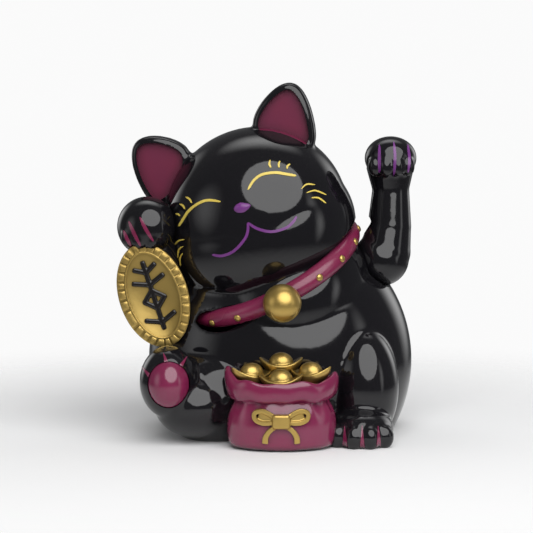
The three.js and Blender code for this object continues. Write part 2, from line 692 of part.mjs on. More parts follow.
// Each lead runs from its contact's tab over the battery box and down to the board's rear edge.
function lead(tabX, postX, side) {
  const start = contactTop + WIRE.radius + GAP;
  const boardEnd = LEVER.x + side * (boardX - 2 * BOARD.margin);
  return wire([
    [tabX, boxY, start],
    [tabX - side, boxY - 4, start + 1],
    [postX, SEAM_Y + FRAME.post[1] / 2 + 4, start],
    [(postX + boardEnd) / 2, SEAM_Y + FRAME.post[1] / 2 + 1, start - WIRE.fall],
    [boardEnd, SEAM_Y + boardY / 2, boardHigh + WIRE.radius + GAP],
  ]);
}
piece("wire_positive", lead(contactX.positive + CONTACT.thick / 2, outerPost, 1), "redWire");
piece("wire_negative", lead(contactX.negative + CONTACT.thick / 2, innerPost, -1), "blackWire");

// ---------- screws ----------
function screw([x, y], headLow, shankEnd, upwards) {
  const way = upwards ? 1 : -1;
  const headHigh = headLow + SCREW.headHeight;
  const [seat, start] = upwards ? [headHigh, headLow] : [headLow, headHigh];
  const slot = box([x - SCREW.head, y - 0.3, start - 0.6], [x + SCREW.head, y + 0.3, start + 0.6]);
  return cut(
    join(
      rod([x, y, headLow], [x, y, headHigh], SCREW.head),
      rod([x, y, seat - (way * SCREW.headHeight) / 2], [x, y, shankEnd], SCREW.radius),
    ),
    slot,
  );
}
bossPlaces.forEach((place, index) => {
  piece(`base_screw_${index + 1}`, screw(place, GAP, seatZ + SCREW.length - WALL, true), "steel");
});
frameScrews.forEach((place, index) => {
  const headLow = frameFloor + FRAME.floor + GAP / 3;
  piece(`frame_screw_${index + 1}`, screw(place, headLow, BASE.thick / 2, false), "steel");
});

export default cat;
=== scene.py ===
import math

import bpy
from mathutils import Matrix, Vector


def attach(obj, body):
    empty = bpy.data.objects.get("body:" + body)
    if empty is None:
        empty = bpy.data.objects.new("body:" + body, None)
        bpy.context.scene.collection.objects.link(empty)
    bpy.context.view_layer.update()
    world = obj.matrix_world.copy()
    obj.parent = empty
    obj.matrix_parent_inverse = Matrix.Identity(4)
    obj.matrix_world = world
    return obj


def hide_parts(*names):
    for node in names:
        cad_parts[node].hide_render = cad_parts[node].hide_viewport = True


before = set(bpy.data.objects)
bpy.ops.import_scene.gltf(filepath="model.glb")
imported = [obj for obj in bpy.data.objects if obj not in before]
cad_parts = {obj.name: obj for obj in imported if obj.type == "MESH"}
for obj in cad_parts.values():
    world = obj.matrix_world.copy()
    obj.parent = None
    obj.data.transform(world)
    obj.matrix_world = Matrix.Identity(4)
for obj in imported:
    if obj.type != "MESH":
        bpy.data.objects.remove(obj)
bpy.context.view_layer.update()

MM = 0.001

# ---------------------------------------------------------------------------
# Camera: a long lens a little above the figurine's middle, square to its front.
# ---------------------------------------------------------------------------
CAMERA_DISTANCE = 900 * MM
CAMERA_RISE = math.radians(5.5)
LOOK_AT = Vector((-2.4, 0, 71.2)) * MM


def clear_selection():
    if bpy.context.object and bpy.context.object.mode != "OBJECT":
        bpy.ops.object.mode_set(mode="OBJECT")
    bpy.ops.object.select_all(action="DESELECT")


clear_selection()
bpy.ops.object.camera_add(
    location=LOOK_AT + CAMERA_DISTANCE * Vector((0, -math.cos(CAMERA_RISE), math.sin(CAMERA_RISE))),
    rotation=(math.radians(90) - CAMERA_RISE, 0, 0),
)
camera = bpy.context.object
camera.data.lens = 139.6
camera.data.sensor_width = 36
bpy.context.scene.camera = camera

# ---------------------------------------------------------------------------
# Studio: a pale sweep of floor that fades into white air, under large soft boxes.
# ---------------------------------------------------------------------------
CHEST = Vector((0, 0, 75)) * MM

clear_selection()
bpy.ops.mesh.primitive_circle_add(vertices=96, radius=1.6, fill_type="NGON")
floor = bpy.context.object
floor.name = "studio_floor"

floor_paint = bpy.data.materials.new("pale floor")
floor_paint.use_nodes = True
nodes, links = floor_paint.node_tree.nodes, floor_paint.node_tree.links
floor_shader = nodes["Principled BSDF"]
floor_shader.inputs["Base Color"].default_value = (0.9, 0.9, 0.9, 1)
floor_shader.inputs["Roughness"].default_value = 0.8
floor_shader.inputs["Specular IOR Level"].default_value = 0.1
place = nodes.new("ShaderNodeTexCoord")
reach = nodes.new("ShaderNodeVectorMath")
reach.operation = "LENGTH"
links.new(place.outputs["Object"], reach.inputs[0])
fade = nodes.new("ShaderNodeMapRange")
fade.interpolation_type = "SMOOTHSTEP"
fade.inputs["From Min"].default_value = 0.08
fade.inputs["From Max"].default_value = 0.3
links.new(reach.outputs["Value"], fade.inputs["Value"])
clear_shader = nodes.new("ShaderNodeBsdfTransparent")
floor_mix = nodes.new("ShaderNodeMixShader")
links.new(fade.outputs["Result"], floor_mix.inputs["Fac"])
links.new(floor_shader.outputs["BSDF"], floor_mix.inputs[1])
links.new(clear_shader.outputs["BSDF"], floor_mix.inputs[2])
links.new(floor_mix.outputs["Shader"], nodes["Material Output"].inputs["Surface"])
floor.data.materials.append(floor_paint)

world = bpy.data.worlds.new("studio air")
bpy.context.scene.world = world
world.use_nodes = True
nodes, links = world.node_tree.nodes, world.node_tree.links
seen = nodes["Background"]
seen.inputs["Color"].default_value = (0.96, 0.96, 0.96, 1)
dim = nodes.new("ShaderNodeBackground")
dim.inputs["Color"].default_value = (0.95, 0.97, 1, 1)
dim.inputs["Strength"].default_value = 0.14
ray = nodes.new("ShaderNodeLightPath")
air = nodes.new("ShaderNodeMixShader")
links.new(ray.outputs["Is Camera Ray"], air.inputs["Fac"])
links.new(dim.outputs["Background"], air.inputs[1])
links.new(seen.outputs["Background"], air.inputs[2])
links.new(air.outputs["Shader"], nodes["World Output"].inputs["Surface"])
bpy.context.scene.view_settings.view_transform = "Standard"


def soft_box(name, way, distance, size, brightness, shape="RECTANGLE", feather=True):
    """An area lamp out along `way` from the chest, facing it; a feathered one dims towards its edges."""
    clear_selection()
    way = Vector(way).normalized()
    bpy.ops.object.light_add(type="AREA", location=CHEST + way * distance)
    lamp = bpy.context.object
    lamp.name = name
    lamp.rotation_euler = way.to_track_quat("Z", "Y").to_euler()
    lamp.visible_camera = False
    lamp.data.shape = shape
    lamp.data.size, lamp.data.size_y = size
    lamp.data.energy = brightness * math.pi * size[0] * size[1]
    if feather:
        lamp.data.use_nodes = True
        tree = lamp.data.node_tree
        spot = tree.nodes.new("ShaderNodeNewGeometry")
        offset = tree.nodes.new("ShaderNodeVectorMath")
        offset.operation = "DISTANCE"
        offset.inputs[1].default_value = (0.5, 0.5, 0)
        tree.links.new(spot.outputs["Parametric"], offset.inputs[0])
        falloff = tree.nodes.new("ShaderNodeMapRange")
        falloff.interpolation_type = "SMOOTHSTEP"
        falloff.inputs["From Max"].default_value = 0.5
        falloff.inputs["To Min"].default_value = 1.5
        falloff.inputs["To Max"].default_value = 0
        tree.links.new(offset.outputs["Value"], falloff.inputs["Value"])
        tree.links.new(falloff.outputs["Result"], tree.nodes["Emission"].inputs["Strength"])


soft_box("key_octagon", (0.25, -0.74, 0.62), 0.95, (1.3, 1.25), 2.5, "ELLIPSE", feather=False)
soft_box("left_strip", (-0.9, -0.42, 0.15), 1.0, (0.9, 1.2), 0.7)
soft_box("right_strip", (0.9, -0.42, 0.1), 1.0, (0.34, 1.0), 1.0)
soft_box("top_bank", (0, 0.35, 1), 1.0, (1.4, 0.7), 1.7)
soft_box("back_left", (-0.8, 0.75, 0.25), 1.1, (0.9, 1.2), 1.3)
soft_box("back_right", (0.8, 0.75, 0.25), 1.1, (0.9, 1.2), 1.3)

# ---------------------------------------------------------------------------
# Front and rear shells: head, ears, neck, body and legs in two injection-moulded
# halves of gloss black plastic joined on an upright seam, 2.2 mm thick in the
# body and thicker in the head.
# ---------------------------------------------------------------------------
WALL = 2.2 * MM
SEAM_Y = -2 * MM
SEAM_GAP = 0.15 * MM
FIT = 0.3 * MM
SKIN_VOXEL = 0.8 * MM
UPRIGHT = Matrix.Identity(4)
HEAD_AT = Vector((-6.5, -5, 94)) * MM
HEAD_RADII = Vector((39.7, 36, 38)) * MM
HEAD_TURN = Matrix.Rotation(math.radians(-21), 4, "Y") @ Matrix.Rotation(math.radians(-8), 4, "Z")
JAW_RADII = Vector((41.4, 36, 34.2)) * MM
BODY_AT = Vector((3.6, 4, 30)) * MM
BODY_RADII = Vector((57.6, 44, 60)) * MM
COLLAR_AT = Vector((0.1, -3, 70.1)) * MM
COLLAR_RING = 37.6 * MM
COLLAR_TUBE = 4.1 * MM
COLLAR_RELIEF = 3 * MM
COLLAR_RELIEF_SPARE = 0.6 * MM
COLLAR_TURN = Matrix.Rotation(math.radians(-27.3), 4, "Y") @ Matrix.Rotation(math.radians(13.4), 4, "X")
NECK_AT = COLLAR_AT + COLLAR_TURN @ Vector((0, 0, -12 * MM))
EAR_SHIFT = -2.5
RIGHT_EAR_LEAN = 2.3
EAR_THICK = 9
EAR_FRONT = -6.5
EAR_ROUNDING = 2.2 * MM
LINING_INSET = 2.7
LINING_DEPTH = 2.1


def take(*pieces):
    clear_selection()
    for piece in pieces:
        piece.select_set(True)
    bpy.context.view_layer.objects.active = pieces[0]


def settle(piece, at=Vector(), turn=UPRIGHT):
    """Puts a piece's place and turn into its mesh and leaves its object at the origin."""
    piece.data.transform(Matrix.Translation(at) @ turn @ piece.matrix_basis)
    piece.matrix_basis = Matrix.Identity(4)
    piece.data.update()
    return piece


def add_ball(name, at, radii, turn=UPRIGHT, segments=64, rings=40):
    clear_selection()
    bpy.ops.mesh.primitive_uv_sphere_add(segments=segments, ring_count=rings, radius=1)
    ball = bpy.context.object
    ball.name = name
    ball.scale = radii
    return settle(ball, at, turn)


def add_bar(name, start, end, radius, end_radius, vertices=64):
    """A round bar between two points, with its own radius at each end."""
    clear_selection()
    way = end - start
    bpy.ops.mesh.primitive_cone_add(vertices=vertices, radius1=radius, radius2=end_radius, depth=way.length)
    bar = bpy.context.object
    bar.name = name
    return settle(bar, (start + end) / 2, way.to_track_quat("Z", "Y").to_matrix().to_4x4())


def add_limb(name, start, radius, end, end_radius):
    """A bar with a ball on each end."""
    ends = [
        add_ball(name, start, Vector((radius, radius, radius))),
        add_ball(name, end, Vector((end_radius, end_radius, end_radius))),
    ]
    return [add_bar(name, start, end, radius, end_radius), *ends]


def finish_with(piece, kind, **settings):
    take(piece)
    modifier = piece.modifiers.new(kind.lower(), kind)
    for setting, value in settings.items():
        setattr(modifier, setting, value)
    bpy.ops.object.modifier_apply(modifier=modifier.name)
    return piece


def join_pieces(name, *pieces):
    take(*pieces)
    bpy.ops.object.join()
    joined = bpy.context.object
    joined.name = name
    return joined


def copy_piece(piece, name):
    take(piece)
    bpy.ops.object.duplicate()
    copied = bpy.context.object
    copied.name = name
    return copied


def drop(*pieces):
    for piece in pieces:
        bpy.data.objects.remove(piece, do_unlink=True)


def blend_skin(piece, voxel, passes):
    """Melts overlapping volumes into one skin and draws their joints out into fillets."""
    finish_with(piece, "REMESH", mode="VOXEL", voxel_size=voxel, adaptivity=0)
    finish_with(piece, "SMOOTH", factor=0.5, iterations=passes)
    return piece


def carve(piece, tool, operation="DIFFERENCE", keep_tool=False):
    finish_with(
        piece, "BOOLEAN", operation=operation, object=tool, solver="MANIFOLD", material_mode="TRANSFER"
    )
    if not keep_tool:
        drop(tool)
    return piece


def shorter(radii, by):
    return radii - Vector((by, by, by))


def in_head(x, y, z):
    """A point of the head's own frame, in millimetres right, back and up from its centre."""
    return HEAD_AT + HEAD_TURN @ (Vector((x, y, z)) * MM)


JAW_AT = in_head(-0.7, 0, -8)


def bow_through(start, pull, end, steps):
    """The points of an arc from start towards end, drawn out to `pull`; the end is left out."""
    shares = [step / steps for step in range(steps)]
    return [start * (1 - t) ** 2 + pull * 2 * t * (1 - t) + end * t**2 for t in shares]


def add_ear(name, side, inset, thick, front):
    """A pointed arch standing on the head; `inset` draws its outline in all round."""
    lean = RIGHT_EAR_LEAN if side > 0 else 0
    corners = [
        (Vector((12.3, 35)), Vector((18.5 + lean / 2, 46.2))),
        (Vector((30.3 + lean, 49.4)), Vector((39.2 + lean, 50.2))),
        (Vector((40.3 + lean / 2, 38)), Vector((41.4, 28))),
        (Vector((37.5, 17.5)), Vector((24, 16))),
    ]
    outline = []
    for (start, pull), (end, _) in zip(corners, corners[1:] + corners[:1]):
        outline += bow_through(start, pull, end, 24)
    for _ in range(40):
        ahead, behind = outline[1:] + outline[:1], outline[-1:] + outline[:-1]
        beside = zip(outline, ahead, behind)
        outline = [here * 0.5 + (after + before) * 0.25 for here, after, before in beside]
    clear_selection()
    bpy.ops.mesh.primitive_circle_add(vertices=len(outline), radius=1, fill_type="NGON")
    plate = bpy.context.object
    plate.name = name
    count = len(outline)
    for vertex in plate.data.vertices:
        i = vertex.index
        run = (outline[(i + 1) % count] - outline[i - 1]).normalized()
        point = outline[i] + Vector((run.y, -run.x)) * inset
        vertex.co = (side * point.x + EAR_SHIFT, front, point.y)
    plate.data.transform(Matrix.Scale(MM, 4))
    take(plate)
    bpy.ops.object.mode_set(mode="EDIT")
    bpy.ops.mesh.select_all(action="SELECT")
    bpy.ops.mesh.extrude_region_move(TRANSFORM_OT_translate={"value": (0, thick * MM, 0)})
    bpy.ops.mesh.select_all(action="SELECT")
    bpy.ops.mesh.normals_make_consistent(inside=False)
    bpy.ops.object.mode_set(mode="OBJECT")
    return settle(plate, HEAD_AT, HEAD_TURN)


def shared_effect(name, inputs, outputs):
    """An empty shader node group with named number sockets, and its entry and exit nodes."""
    group = bpy.data.node_groups.new(name, "ShaderNodeTree")
    for label, value in inputs.items():
        group.interface.new_socket(label, in_out="INPUT", socket_type="NodeSocketFloat").default_value = value
    for label in outputs:
        group.interface.new_socket(label, in_out="OUTPUT", socket_type="NodeSocketFloat")
    return group, group.nodes.new("NodeGroupInput"), group.nodes.new("NodeGroupOutput")


def make_grain_effect():
    """A broad mottle and a fine grain, both from 0 to 1, set by the size of the grain in millimetres."""
    group, entry, leave = shared_effect("surface grain", {"Size mm": 3}, ["Mottle", "Grain"])
    place = group.nodes.new("ShaderNodeTexCoord")
    fineness = group.nodes.new("ShaderNodeMath")
    fineness.operation = "DIVIDE"
    fineness.inputs[0].default_value = 1000
    group.links.new(entry.outputs["Size mm"], fineness.inputs[1])
    broad = group.nodes.new("ShaderNodeMath")
    broad.operation = "MULTIPLY"
    broad.inputs[1].default_value = 0.12
    group.links.new(fineness.outputs["Value"], broad.inputs[0])
    for scale, label in ((broad, "Mottle"), (fineness, "Grain")):
        noise = group.nodes.new("ShaderNodeTexNoise")
        noise.inputs["Detail"].default_value = 3
        group.links.new(place.outputs["Object"], noise.inputs["Vector"])
        group.links.new(scale.outputs["Value"], noise.inputs["Scale"])
        group.links.new(noise.outputs["Fac"], leave.inputs[label])
    return group


def make_dust_effect():
    """Faint specks of settled dust on whatever faces up; Mask is 1 where dust lies."""
    group, entry, leave = shared_effect("settled dust", {"Amount": 0.1}, ["Mask"])
    place = group.nodes.new("ShaderNodeTexCoord")
    facing = group.nodes.new("ShaderNodeSeparateXYZ")
    group.links.new(place.outputs["Normal"], facing.inputs["Vector"])
    upper = group.nodes.new("ShaderNodeMapRange")
    upper.inputs["From Min"].default_value = 0.3
    group.links.new(facing.outputs["Z"], upper.inputs["Value"])
    specks = group.nodes.new("ShaderNodeTexNoise")
    specks.inputs["Scale"].default_value = 2600
    specks.inputs["Detail"].default_value = 4
    group.links.new(place.outputs["Object"], specks.inputs["Vector"])
    sparse = group.nodes.new("ShaderNodeMapRange")
    sparse.inputs["From Min"].default_value = 0.56
    sparse.inputs["From Max"].default_value = 0.78
    group.links.new(specks.outputs["Fac"], sparse.inputs["Value"])
    lying = group.nodes.new("ShaderNodeMath")
    lying.operation = "MULTIPLY"
    group.links.new(upper.outputs["Result"], lying.inputs[0])
    group.links.new(sparse.outputs["Result"], lying.inputs[1])
    dosed = group.nodes.new("ShaderNodeMath")
    dosed.operation = "MULTIPLY"
    group.links.new(lying.outputs["Value"], dosed.inputs[0])
    group.links.new(entry.outputs["Amount"], dosed.inputs[1])
    group.links.new(dosed.outputs["Value"], leave.inputs["Mask"])
    return group


GRAIN_EFFECT = make_grain_effect()
DUST_EFFECT = make_dust_effect()
DUST_COLOUR = (0.35, 0.33, 0.31, 1)


def mix_colours(tree, share, first, second):
    """A colour mix; each of first and second is a socket or a plain colour."""
    mix = tree.nodes.new("ShaderNodeMix")
    mix.data_type = "RGBA"
    tree.links.new(share, mix.inputs["Factor"])
    for slot, colour in ((6, first), (7, second)):
        if isinstance(colour, tuple):
            mix.inputs[slot].default_value = colour
        else:
            tree.links.new(colour, mix.inputs[slot])
    return mix.outputs[2]


def make_finish(name, tone, deep, rough, metallic=0, coat=0, grain=3, relief=0.01, painted_shade_mm=0, dust=0.12):
    """A finish whose colour drifts from tone to deep, and whose sheen from rough[0] to rough[1]; it can also
    darken its colour in recesses and creases as painted shade.
    """
    finish = bpy.data.materials.new(name)
    finish.use_nodes = True
    tree = finish.node_tree
    shader = tree.nodes["Principled BSDF"]
    shader.inputs["Metallic"].default_value = metallic
    shader.inputs["Coat Weight"].default_value = coat
    shader.inputs["Coat Roughness"].default_value = 0.06
    texture = tree.nodes.new("ShaderNodeGroup")
    texture.node_tree = GRAIN_EFFECT
    texture.inputs["Size mm"].default_value = grain
    colour = mix_colours(tree, texture.outputs["Mottle"], (*tone, 1), (*deep, 1))
    # Painted shade: ambient occlusion over this many millimetres darkens the colour in recesses and creases
    # towards a quarter of deep.
    if painted_shade_mm:
        recess_shade = tree.nodes.new("ShaderNodeAmbientOcclusion")
        recess_shade.inputs["Distance"].default_value = painted_shade_mm * MM
        recess_shade.samples = 8
        colour = mix_colours(tree, recess_shade.outputs["AO"], (*(part * 0.25 for part in deep), 1), colour)
    lying = tree.nodes.new("ShaderNodeGroup")
    lying.node_tree = DUST_EFFECT
    lying.inputs["Amount"].default_value = dust
    colour = mix_colours(tree, lying.outputs["Mask"], colour, DUST_COLOUR)
    tree.links.new(colour, shader.inputs["Base Color"])
    sheen = tree.nodes.new("ShaderNodeMapRange")
    sheen.inputs["To Min"].default_value, sheen.inputs["To Max"].default_value = rough
    tree.links.new(texture.outputs["Mottle"], sheen.inputs["Value"])
    tree.links.new(sheen.outputs["Result"], shader.inputs["Roughness"])
    bump = tree.nodes.new("ShaderNodeBump")
    bump.inputs["Distance"].default_value = relief * MM
    tree.links.new(texture.outputs["Grain"], bump.inputs["Height"])
    tree.links.new(bump.outputs["Normal"], shader.inputs["Normal"])
    return finish


BLACK_GLOSS = make_finish(
    "gloss black plastic", (0.004, 0.004, 0.005), (0.008, 0.007, 0.009), (0.05, 0.09), grain=6
)
# The plum lining gets painted shade that darkens its recesses.
PLUM_LINING = make_finish(
    "plum lining paint", (0.18, 0.010, 0.038), (0.12, 0.008, 0.045), (0.45, 0.6), painted_shade_mm=4, dust=0
)


def paint_all(piece, finish):
    piece.data.materials.clear()
    piece.data.materials.append(finish)
    return piece


def hand_over(piece, body, slot, *nodes, smooth=35):
    """Shades a finished piece, hangs it on its body and hides the CAD nodes it stands in for; the slot
    argument is not used.
    """
    take(piece)
    bpy.ops.object.shade_smooth_by_angle(angle=math.radians(smooth))
    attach(piece, body)
    if nodes:
        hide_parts(*nodes)
    return piece


figure_parts = [
    add_ball("head", HEAD_AT, HEAD_RADII, HEAD_TURN, 128, 96),
    add_ball("jaw", JAW_AT, JAW_RADII, HEAD_TURN, 128, 96),
    add_ball("body", BODY_AT, BODY_RADII, UPRIGHT, 128, 96),
    add_ball("neck", NECK_AT, Vector((39.5, 38.5, 31)) * MM, COLLAR_TURN, 128, 96),
    add_ball("haunch", Vector((-24, -22, 18)) * MM, Vector((26, 22, 21)) * MM),
    add_ball("heel", Vector((-33, -32, 16)) * MM, Vector((17, 17, 14)) * MM),
    add_ball("raised_foot", Vector((-43.4, -39, 26.5)) * MM, Vector((12.2, 13, 15.3)) * MM),
    add_ball("leg", Vector((39, -24, 22)) * MM, Vector((15, 17, 25)) * MM),
    add_ball("foot", Vector((37.6, -37, 6.6)) * MM, Vector((13.6, 14, 8.6)) * MM),
]
for side in (-1, 1):
    ear = add_ear("ear", side, 0, EAR_THICK, EAR_FRONT)
    finish_with(
        ear, "BEVEL", width=EAR_ROUNDING, segments=5, limit_method="ANGLE", angle_limit=math.radians(50)
    )
    figure_parts.append(ear)
for toe_x, toe_y in ((27.2, -46), (33.8, -49.5), (40.6, -50), (46.8, -46.5)):
    figure_parts.append(add_ball("toe", Vector((toe_x, toe_y, 4.4)) * MM, Vector((4, 3.6, 5.2)) * MM))
skin = join_pieces("figure_skin", *figure_parts)
blend_skin(skin, SKIN_VOXEL, 5)
clear_selection()
bpy.ops.mesh.primitive_torus_add(
    major_radius=COLLAR_RING + COLLAR_RELIEF,
    minor_radius=COLLAR_TUBE + COLLAR_RELIEF_SPARE,
    major_segments=128,
    minor_segments=32,
)
carve(skin, settle(bpy.context.object, COLLAR_AT, COLLAR_TURN))
blend_skin(skin, SKIN_VOXEL, 5)
paint_all(skin, BLACK_GLOSS)

# Neighbours are cut back by this copy of the whole figure, a little swollen.
figure_room = copy_piece(skin, "figure_room")
finish_with(figure_room, "DISPLACE", strength=FIT, mid_level=0)
finish_with(figure_room, "DECIMATE", ratio=0.35)

# The hollow, the foot opening, the collar's seat and the shoulder slot are cut out of the skin.
BASE_AT = Vector((3.6, 4, 0)) * MM
FOOT_SHARE = math.sqrt(1 - (BODY_AT.z / BODY_RADII.z) ** 2)
BASE_RIM = 3 * MM
BASE_THICK = 3 * MM
BASE_HALF = Vector((BODY_RADII.x, BODY_RADII.y)) * FOOT_SHARE - Vector((BASE_RIM, BASE_RIM))
PIVOT = Vector((47.5, -2, 75)) * MM
BALL_RADIUS = 12 * MM
BALL_CLEARANCE = 0.9 * MM
WRIST = Vector((51.4, -2, 105)) * MM
WRIST_RADIUS = 8 * MM
SWING = math.radians(22)


def swung(point, angle):
    return PIVOT + Matrix.Rotation(angle, 4, "X") @ (point - PIVOT)


clear_selection()
bpy.ops.mesh.primitive_cylinder_add(vertices=128, radius=1, depth=2, location=BASE_AT)
foot_opening = bpy.context.object
foot_opening.scale = (BASE_HALF.x + FIT, BASE_HALF.y + FIT, BASE_THICK + FIT)
settle(foot_opening)
clear_selection()
bpy.ops.mesh.primitive_torus_add(
    major_radius=COLLAR_RING, minor_radius=COLLAR_TUBE + FIT, major_segments=128, minor_segments=32
)
collar_seat = settle(bpy.context.object, COLLAR_AT, COLLAR_TURN)
clear_selection()
bpy.ops.mesh.primitive_cube_add(size=0.4, location=(0, 0, -0.2))
ground = settle(bpy.context.object)
hollows = [
    add_ball("hollow_body", BODY_AT, shorter(BODY_RADII, WALL), UPRIGHT, 48, 32),
    add_ball("hollow_head", HEAD_AT, shorter(HEAD_RADII, WALL * 1.6), HEAD_TURN, 48, 32),
    add_ball("hollow_jaw", JAW_AT, shorter(JAW_RADII, WALL * 1.6), HEAD_TURN, 48, 32),
]
shoulder_slot = []
for angle in (-SWING, 0, SWING):
    shoulder_slot += add_limb(
        "slot", PIVOT, BALL_RADIUS + BALL_CLEARANCE, swung(WRIST, angle), WRIST_RADIUS + BALL_CLEARANCE
    )
for tool in (ground, *hollows, foot_opening, collar_seat, *shoulder_slot):
    carve(skin, tool)

# The ear linings are sunk faces; the crown of the head stands up inside each one's foot.
crown = add_ball("crown", HEAD_AT, HEAD_RADII * 1.004, HEAD_TURN, 96, 64)
for side in (-1, 1):
    sink = add_ear("ear_sink", side, LINING_INSET, 2 * LINING_DEPTH, EAR_FRONT - LINING_DEPTH)
    carve(sink, crown, keep_tool=True)
    carve(skin, paint_all(sink, PLUM_LINING))
drop(crown)


def half_space(name, front):
    """A block that fills everything in front of the seam, or everything behind it."""
    clear_selection()
    bpy.ops.mesh.primitive_cube_add(size=0.4)
    block = bpy.context.object
    block.name = name
    return settle(block, Vector((0, SEAM_Y + (-0.2 - SEAM_GAP if front else 0.2 + SEAM_GAP), 0.1)))


rear = copy_piece(skin, "rear_shell_moulding")
front = carve(skin, half_space("front_half", True), "INTERSECT")
rear = carve(rear, half_space("rear_half", False), "INTERSECT")
front.name = "front_shell_moulding"
hand_over(front, "figurine", "gloss_black", "front_shell")
hand_over(rear, "figurine", "gloss_black", "rear_shell")

# ---------------------------------------------------------------------------
# Face: lines brushed on the finished shell in thick yellow and violet paint.
# Closed eyes, three lashes and three whiskers a side, a small nose and a w mouth.
# ---------------------------------------------------------------------------
YELLOW = make_finish(
    "yellow brush paint", (0.83, 0.66, 0.13), (0.62, 0.44, 0.06), (0.3, 0.45), grain=0.8, relief=0.05
)
VIOLET = make_finish(
    "violet brush paint", (0.20, 0.045, 0.24), (0.13, 0.03, 0.17), (0.22, 0.35), grain=1, relief=0.03
)
LINE_STEPS = 48
LINE_START = -60
PAINT_THICK = 0.5 * MM


def course(points, share):
    """Where a smooth line through the points is at a share of its length, and its direction there."""
    spans = len(points) - 1
    along = min(share * spans, spans - 1e-5)
    span = int(along)
    t = along - span
    before, here = points[max(span - 1, 0)], points[span]
    ahead, after = points[span + 1], points[min(span + 2, spans)]
    leave, arrive = (ahead - before) / 2, (after - here) / 2
    bend = here * 2 - ahead * 2 + leave + arrive
    rise = (ahead - here) * 3 - leave * 2 - arrive
    return here + leave * t + rise * t**2 + bend * t**3, (leave + rise * 2 * t + bend * 3 * t**2).normalized()


def even_width(share):
    return math.sqrt(max(1 - abs(2 * share - 1) ** 8, 0.01))


def brush_width(share):
    return max(1 - abs(2 * share - 1) ** 2.2, 0.03) ** 0.6


def claw_width(share):
    return 0.08 + 0.92 * share


def point_outwards(piece):
    take(piece)
    bpy.ops.object.mode_set(mode="EDIT")
    bpy.ops.mesh.select_all(action="SELECT")
    bpy.ops.mesh.normals_make_consistent(inside=False)
    bpy.ops.object.mode_set(mode="OBJECT")
    return piece


def paint_line(name, points, width, target, profile=even_width, at=Vector(), turn=UPRIGHT):
    """A strip laid along its points (across, up), pressed back onto the target and thickened."""
    points = [Vector(point) for point in points]
    clear_selection()
    bpy.ops.mesh.primitive_grid_add(x_subdivisions=LINE_STEPS, y_subdivisions=4, size=1)
    strip = bpy.context.object
    strip.name = name
    for vertex in strip.data.vertices:
        share, across = vertex.co.x + 0.5, vertex.co.y
        point, run = course(points, share)
        point += Vector((-run.y, run.x)) * across * width * profile(share)
        vertex.co = Vector((point.x, LINE_START, point.y)) * MM
    strip.matrix_basis = Matrix.Translation(at) @ turn
    finish_with(
        strip, "SHRINKWRAP", target=target, wrap_method="PROJECT", use_project_x=False, use_project_y=True,
        use_project_z=False, use_positive_direction=True, use_negative_direction=False,
    )
    settle(strip)
    finish_with(strip, "SOLIDIFY", thickness=PAINT_THICK, offset=0)
    return point_outwards(strip)


def face_line(name, points, width, profile=even_width):
    return paint_line(name, points, width, front, profile, HEAD_AT, HEAD_TURN)


EYES = {
    "left": [(-29, 8.7), (-25.6, 11), (-21.9, 13.4), (-16.7, 15), (-11.7, 15), (-6.5, 12.7)],
    "right": [(5.9, 13.3), (9.4, 16), (13.2, 17), (18.3, 15.8), (21.8, 13.8), (25.7, 11.3)],
}
LASHES = {
    "left": [[(-21.4, 19.2), (-20, 18), (-19.3, 16.1)], [(-25.3, 17.3), (-24, 16.3), (-23.4, 14.7)],
             [(-28.7, 13.8), (-27.6, 13.5), (-26.9, 12.6)]],
    "right": [[(17.8, 21.3), (17.1, 19.8), (17.4, 18.2)], [(21.4, 19.4), (20.6, 18.4), (20.4, 17)],
              [(24.8, 16.7), (23.6, 16.3), (23.2, 15.3)]],
}
WHISKERS = {
    "left": [[(-28.5, 2.7), (-31.8, 2.8), (-35.2, 1.2)], [(-30.2, 0.1), (-33.2, -0.9), (-35.2, -4)],
             [(-31.8, -2.7), (-34.2, -4.6), (-35.3, -7.6)]],
    "right": [[(25.9, 5.5), (28.4, 6.4), (31.3, 4.8)], [(27.2, 3.2), (30.6, 2.6), (33.8, -1)],
              [(28.3, 0.5), (30.7, -0.7), (32.7, -4.1)]],
}
for side in ("left", "right"):
    eye = face_line(f"eye_{side}", EYES[side], 1.05)
    lashes = [face_line("lash", points, 0.8, brush_width) for points in LASHES[side]]
    whiskers = [face_line("whisker", points, 0.6, brush_width) for points in WHISKERS[side]]
    for piece in (
        eye, join_pieces(f"lashes_{side}", *lashes), join_pieces(f"whiskers_{side}", *whiskers)
    ):
        hand_over(paint_all(piece, YELLOW), "figurine", "yellow_paint")

MOUTH_APEX = (1.4, 0.8)
LEFT_LIP = [MOUTH_APEX, (0.3, -2.2), (-2.3, -5.2), (-8.4, -8.3), (-14.2, -8.6), (-18.2, -6.8)]
RIGHT_LIP = [MOUTH_APEX, (4.1, -2.9), (9, -6.2), (14.9, -7), (18.4, -5.9), (20.6, -4.2)]
mouth = join_pieces("mouth", *[face_line("lip", points, 1.15) for points in (LEFT_LIP, RIGHT_LIP)])
hand_over(paint_all(mouth, VIOLET), "figurine", "violet_paint")

nose = add_ball("nose", in_head(1.3, -34.6, 7.2), Vector((3.8, 1.6, 2.4)) * MM, HEAD_TURN, 48, 32)
take(nose)
bpy.ops.object.mode_set(mode="EDIT")
bpy.ops.mesh.select_all(action="SELECT")
bpy.ops.transform.rotate(
    value=math.radians(-6), orient_axis="Y", center_override=in_head(1.3, -34.6, 7.2)
)
bpy.ops.object.mode_set(mode="OBJECT")
for vertex in nose.data.vertices:
    out = HEAD_TURN.inverted() @ (vertex.co - in_head(1.3, -34.6, 7.2))
    vertex.co -= HEAD_TURN @ Vector((0, 0, out.z * 0.45 * max(out.x, 0) / (3.8 * MM)))
hand_over(paint_all(nose, VIOLET), "figurine", "violet_paint")
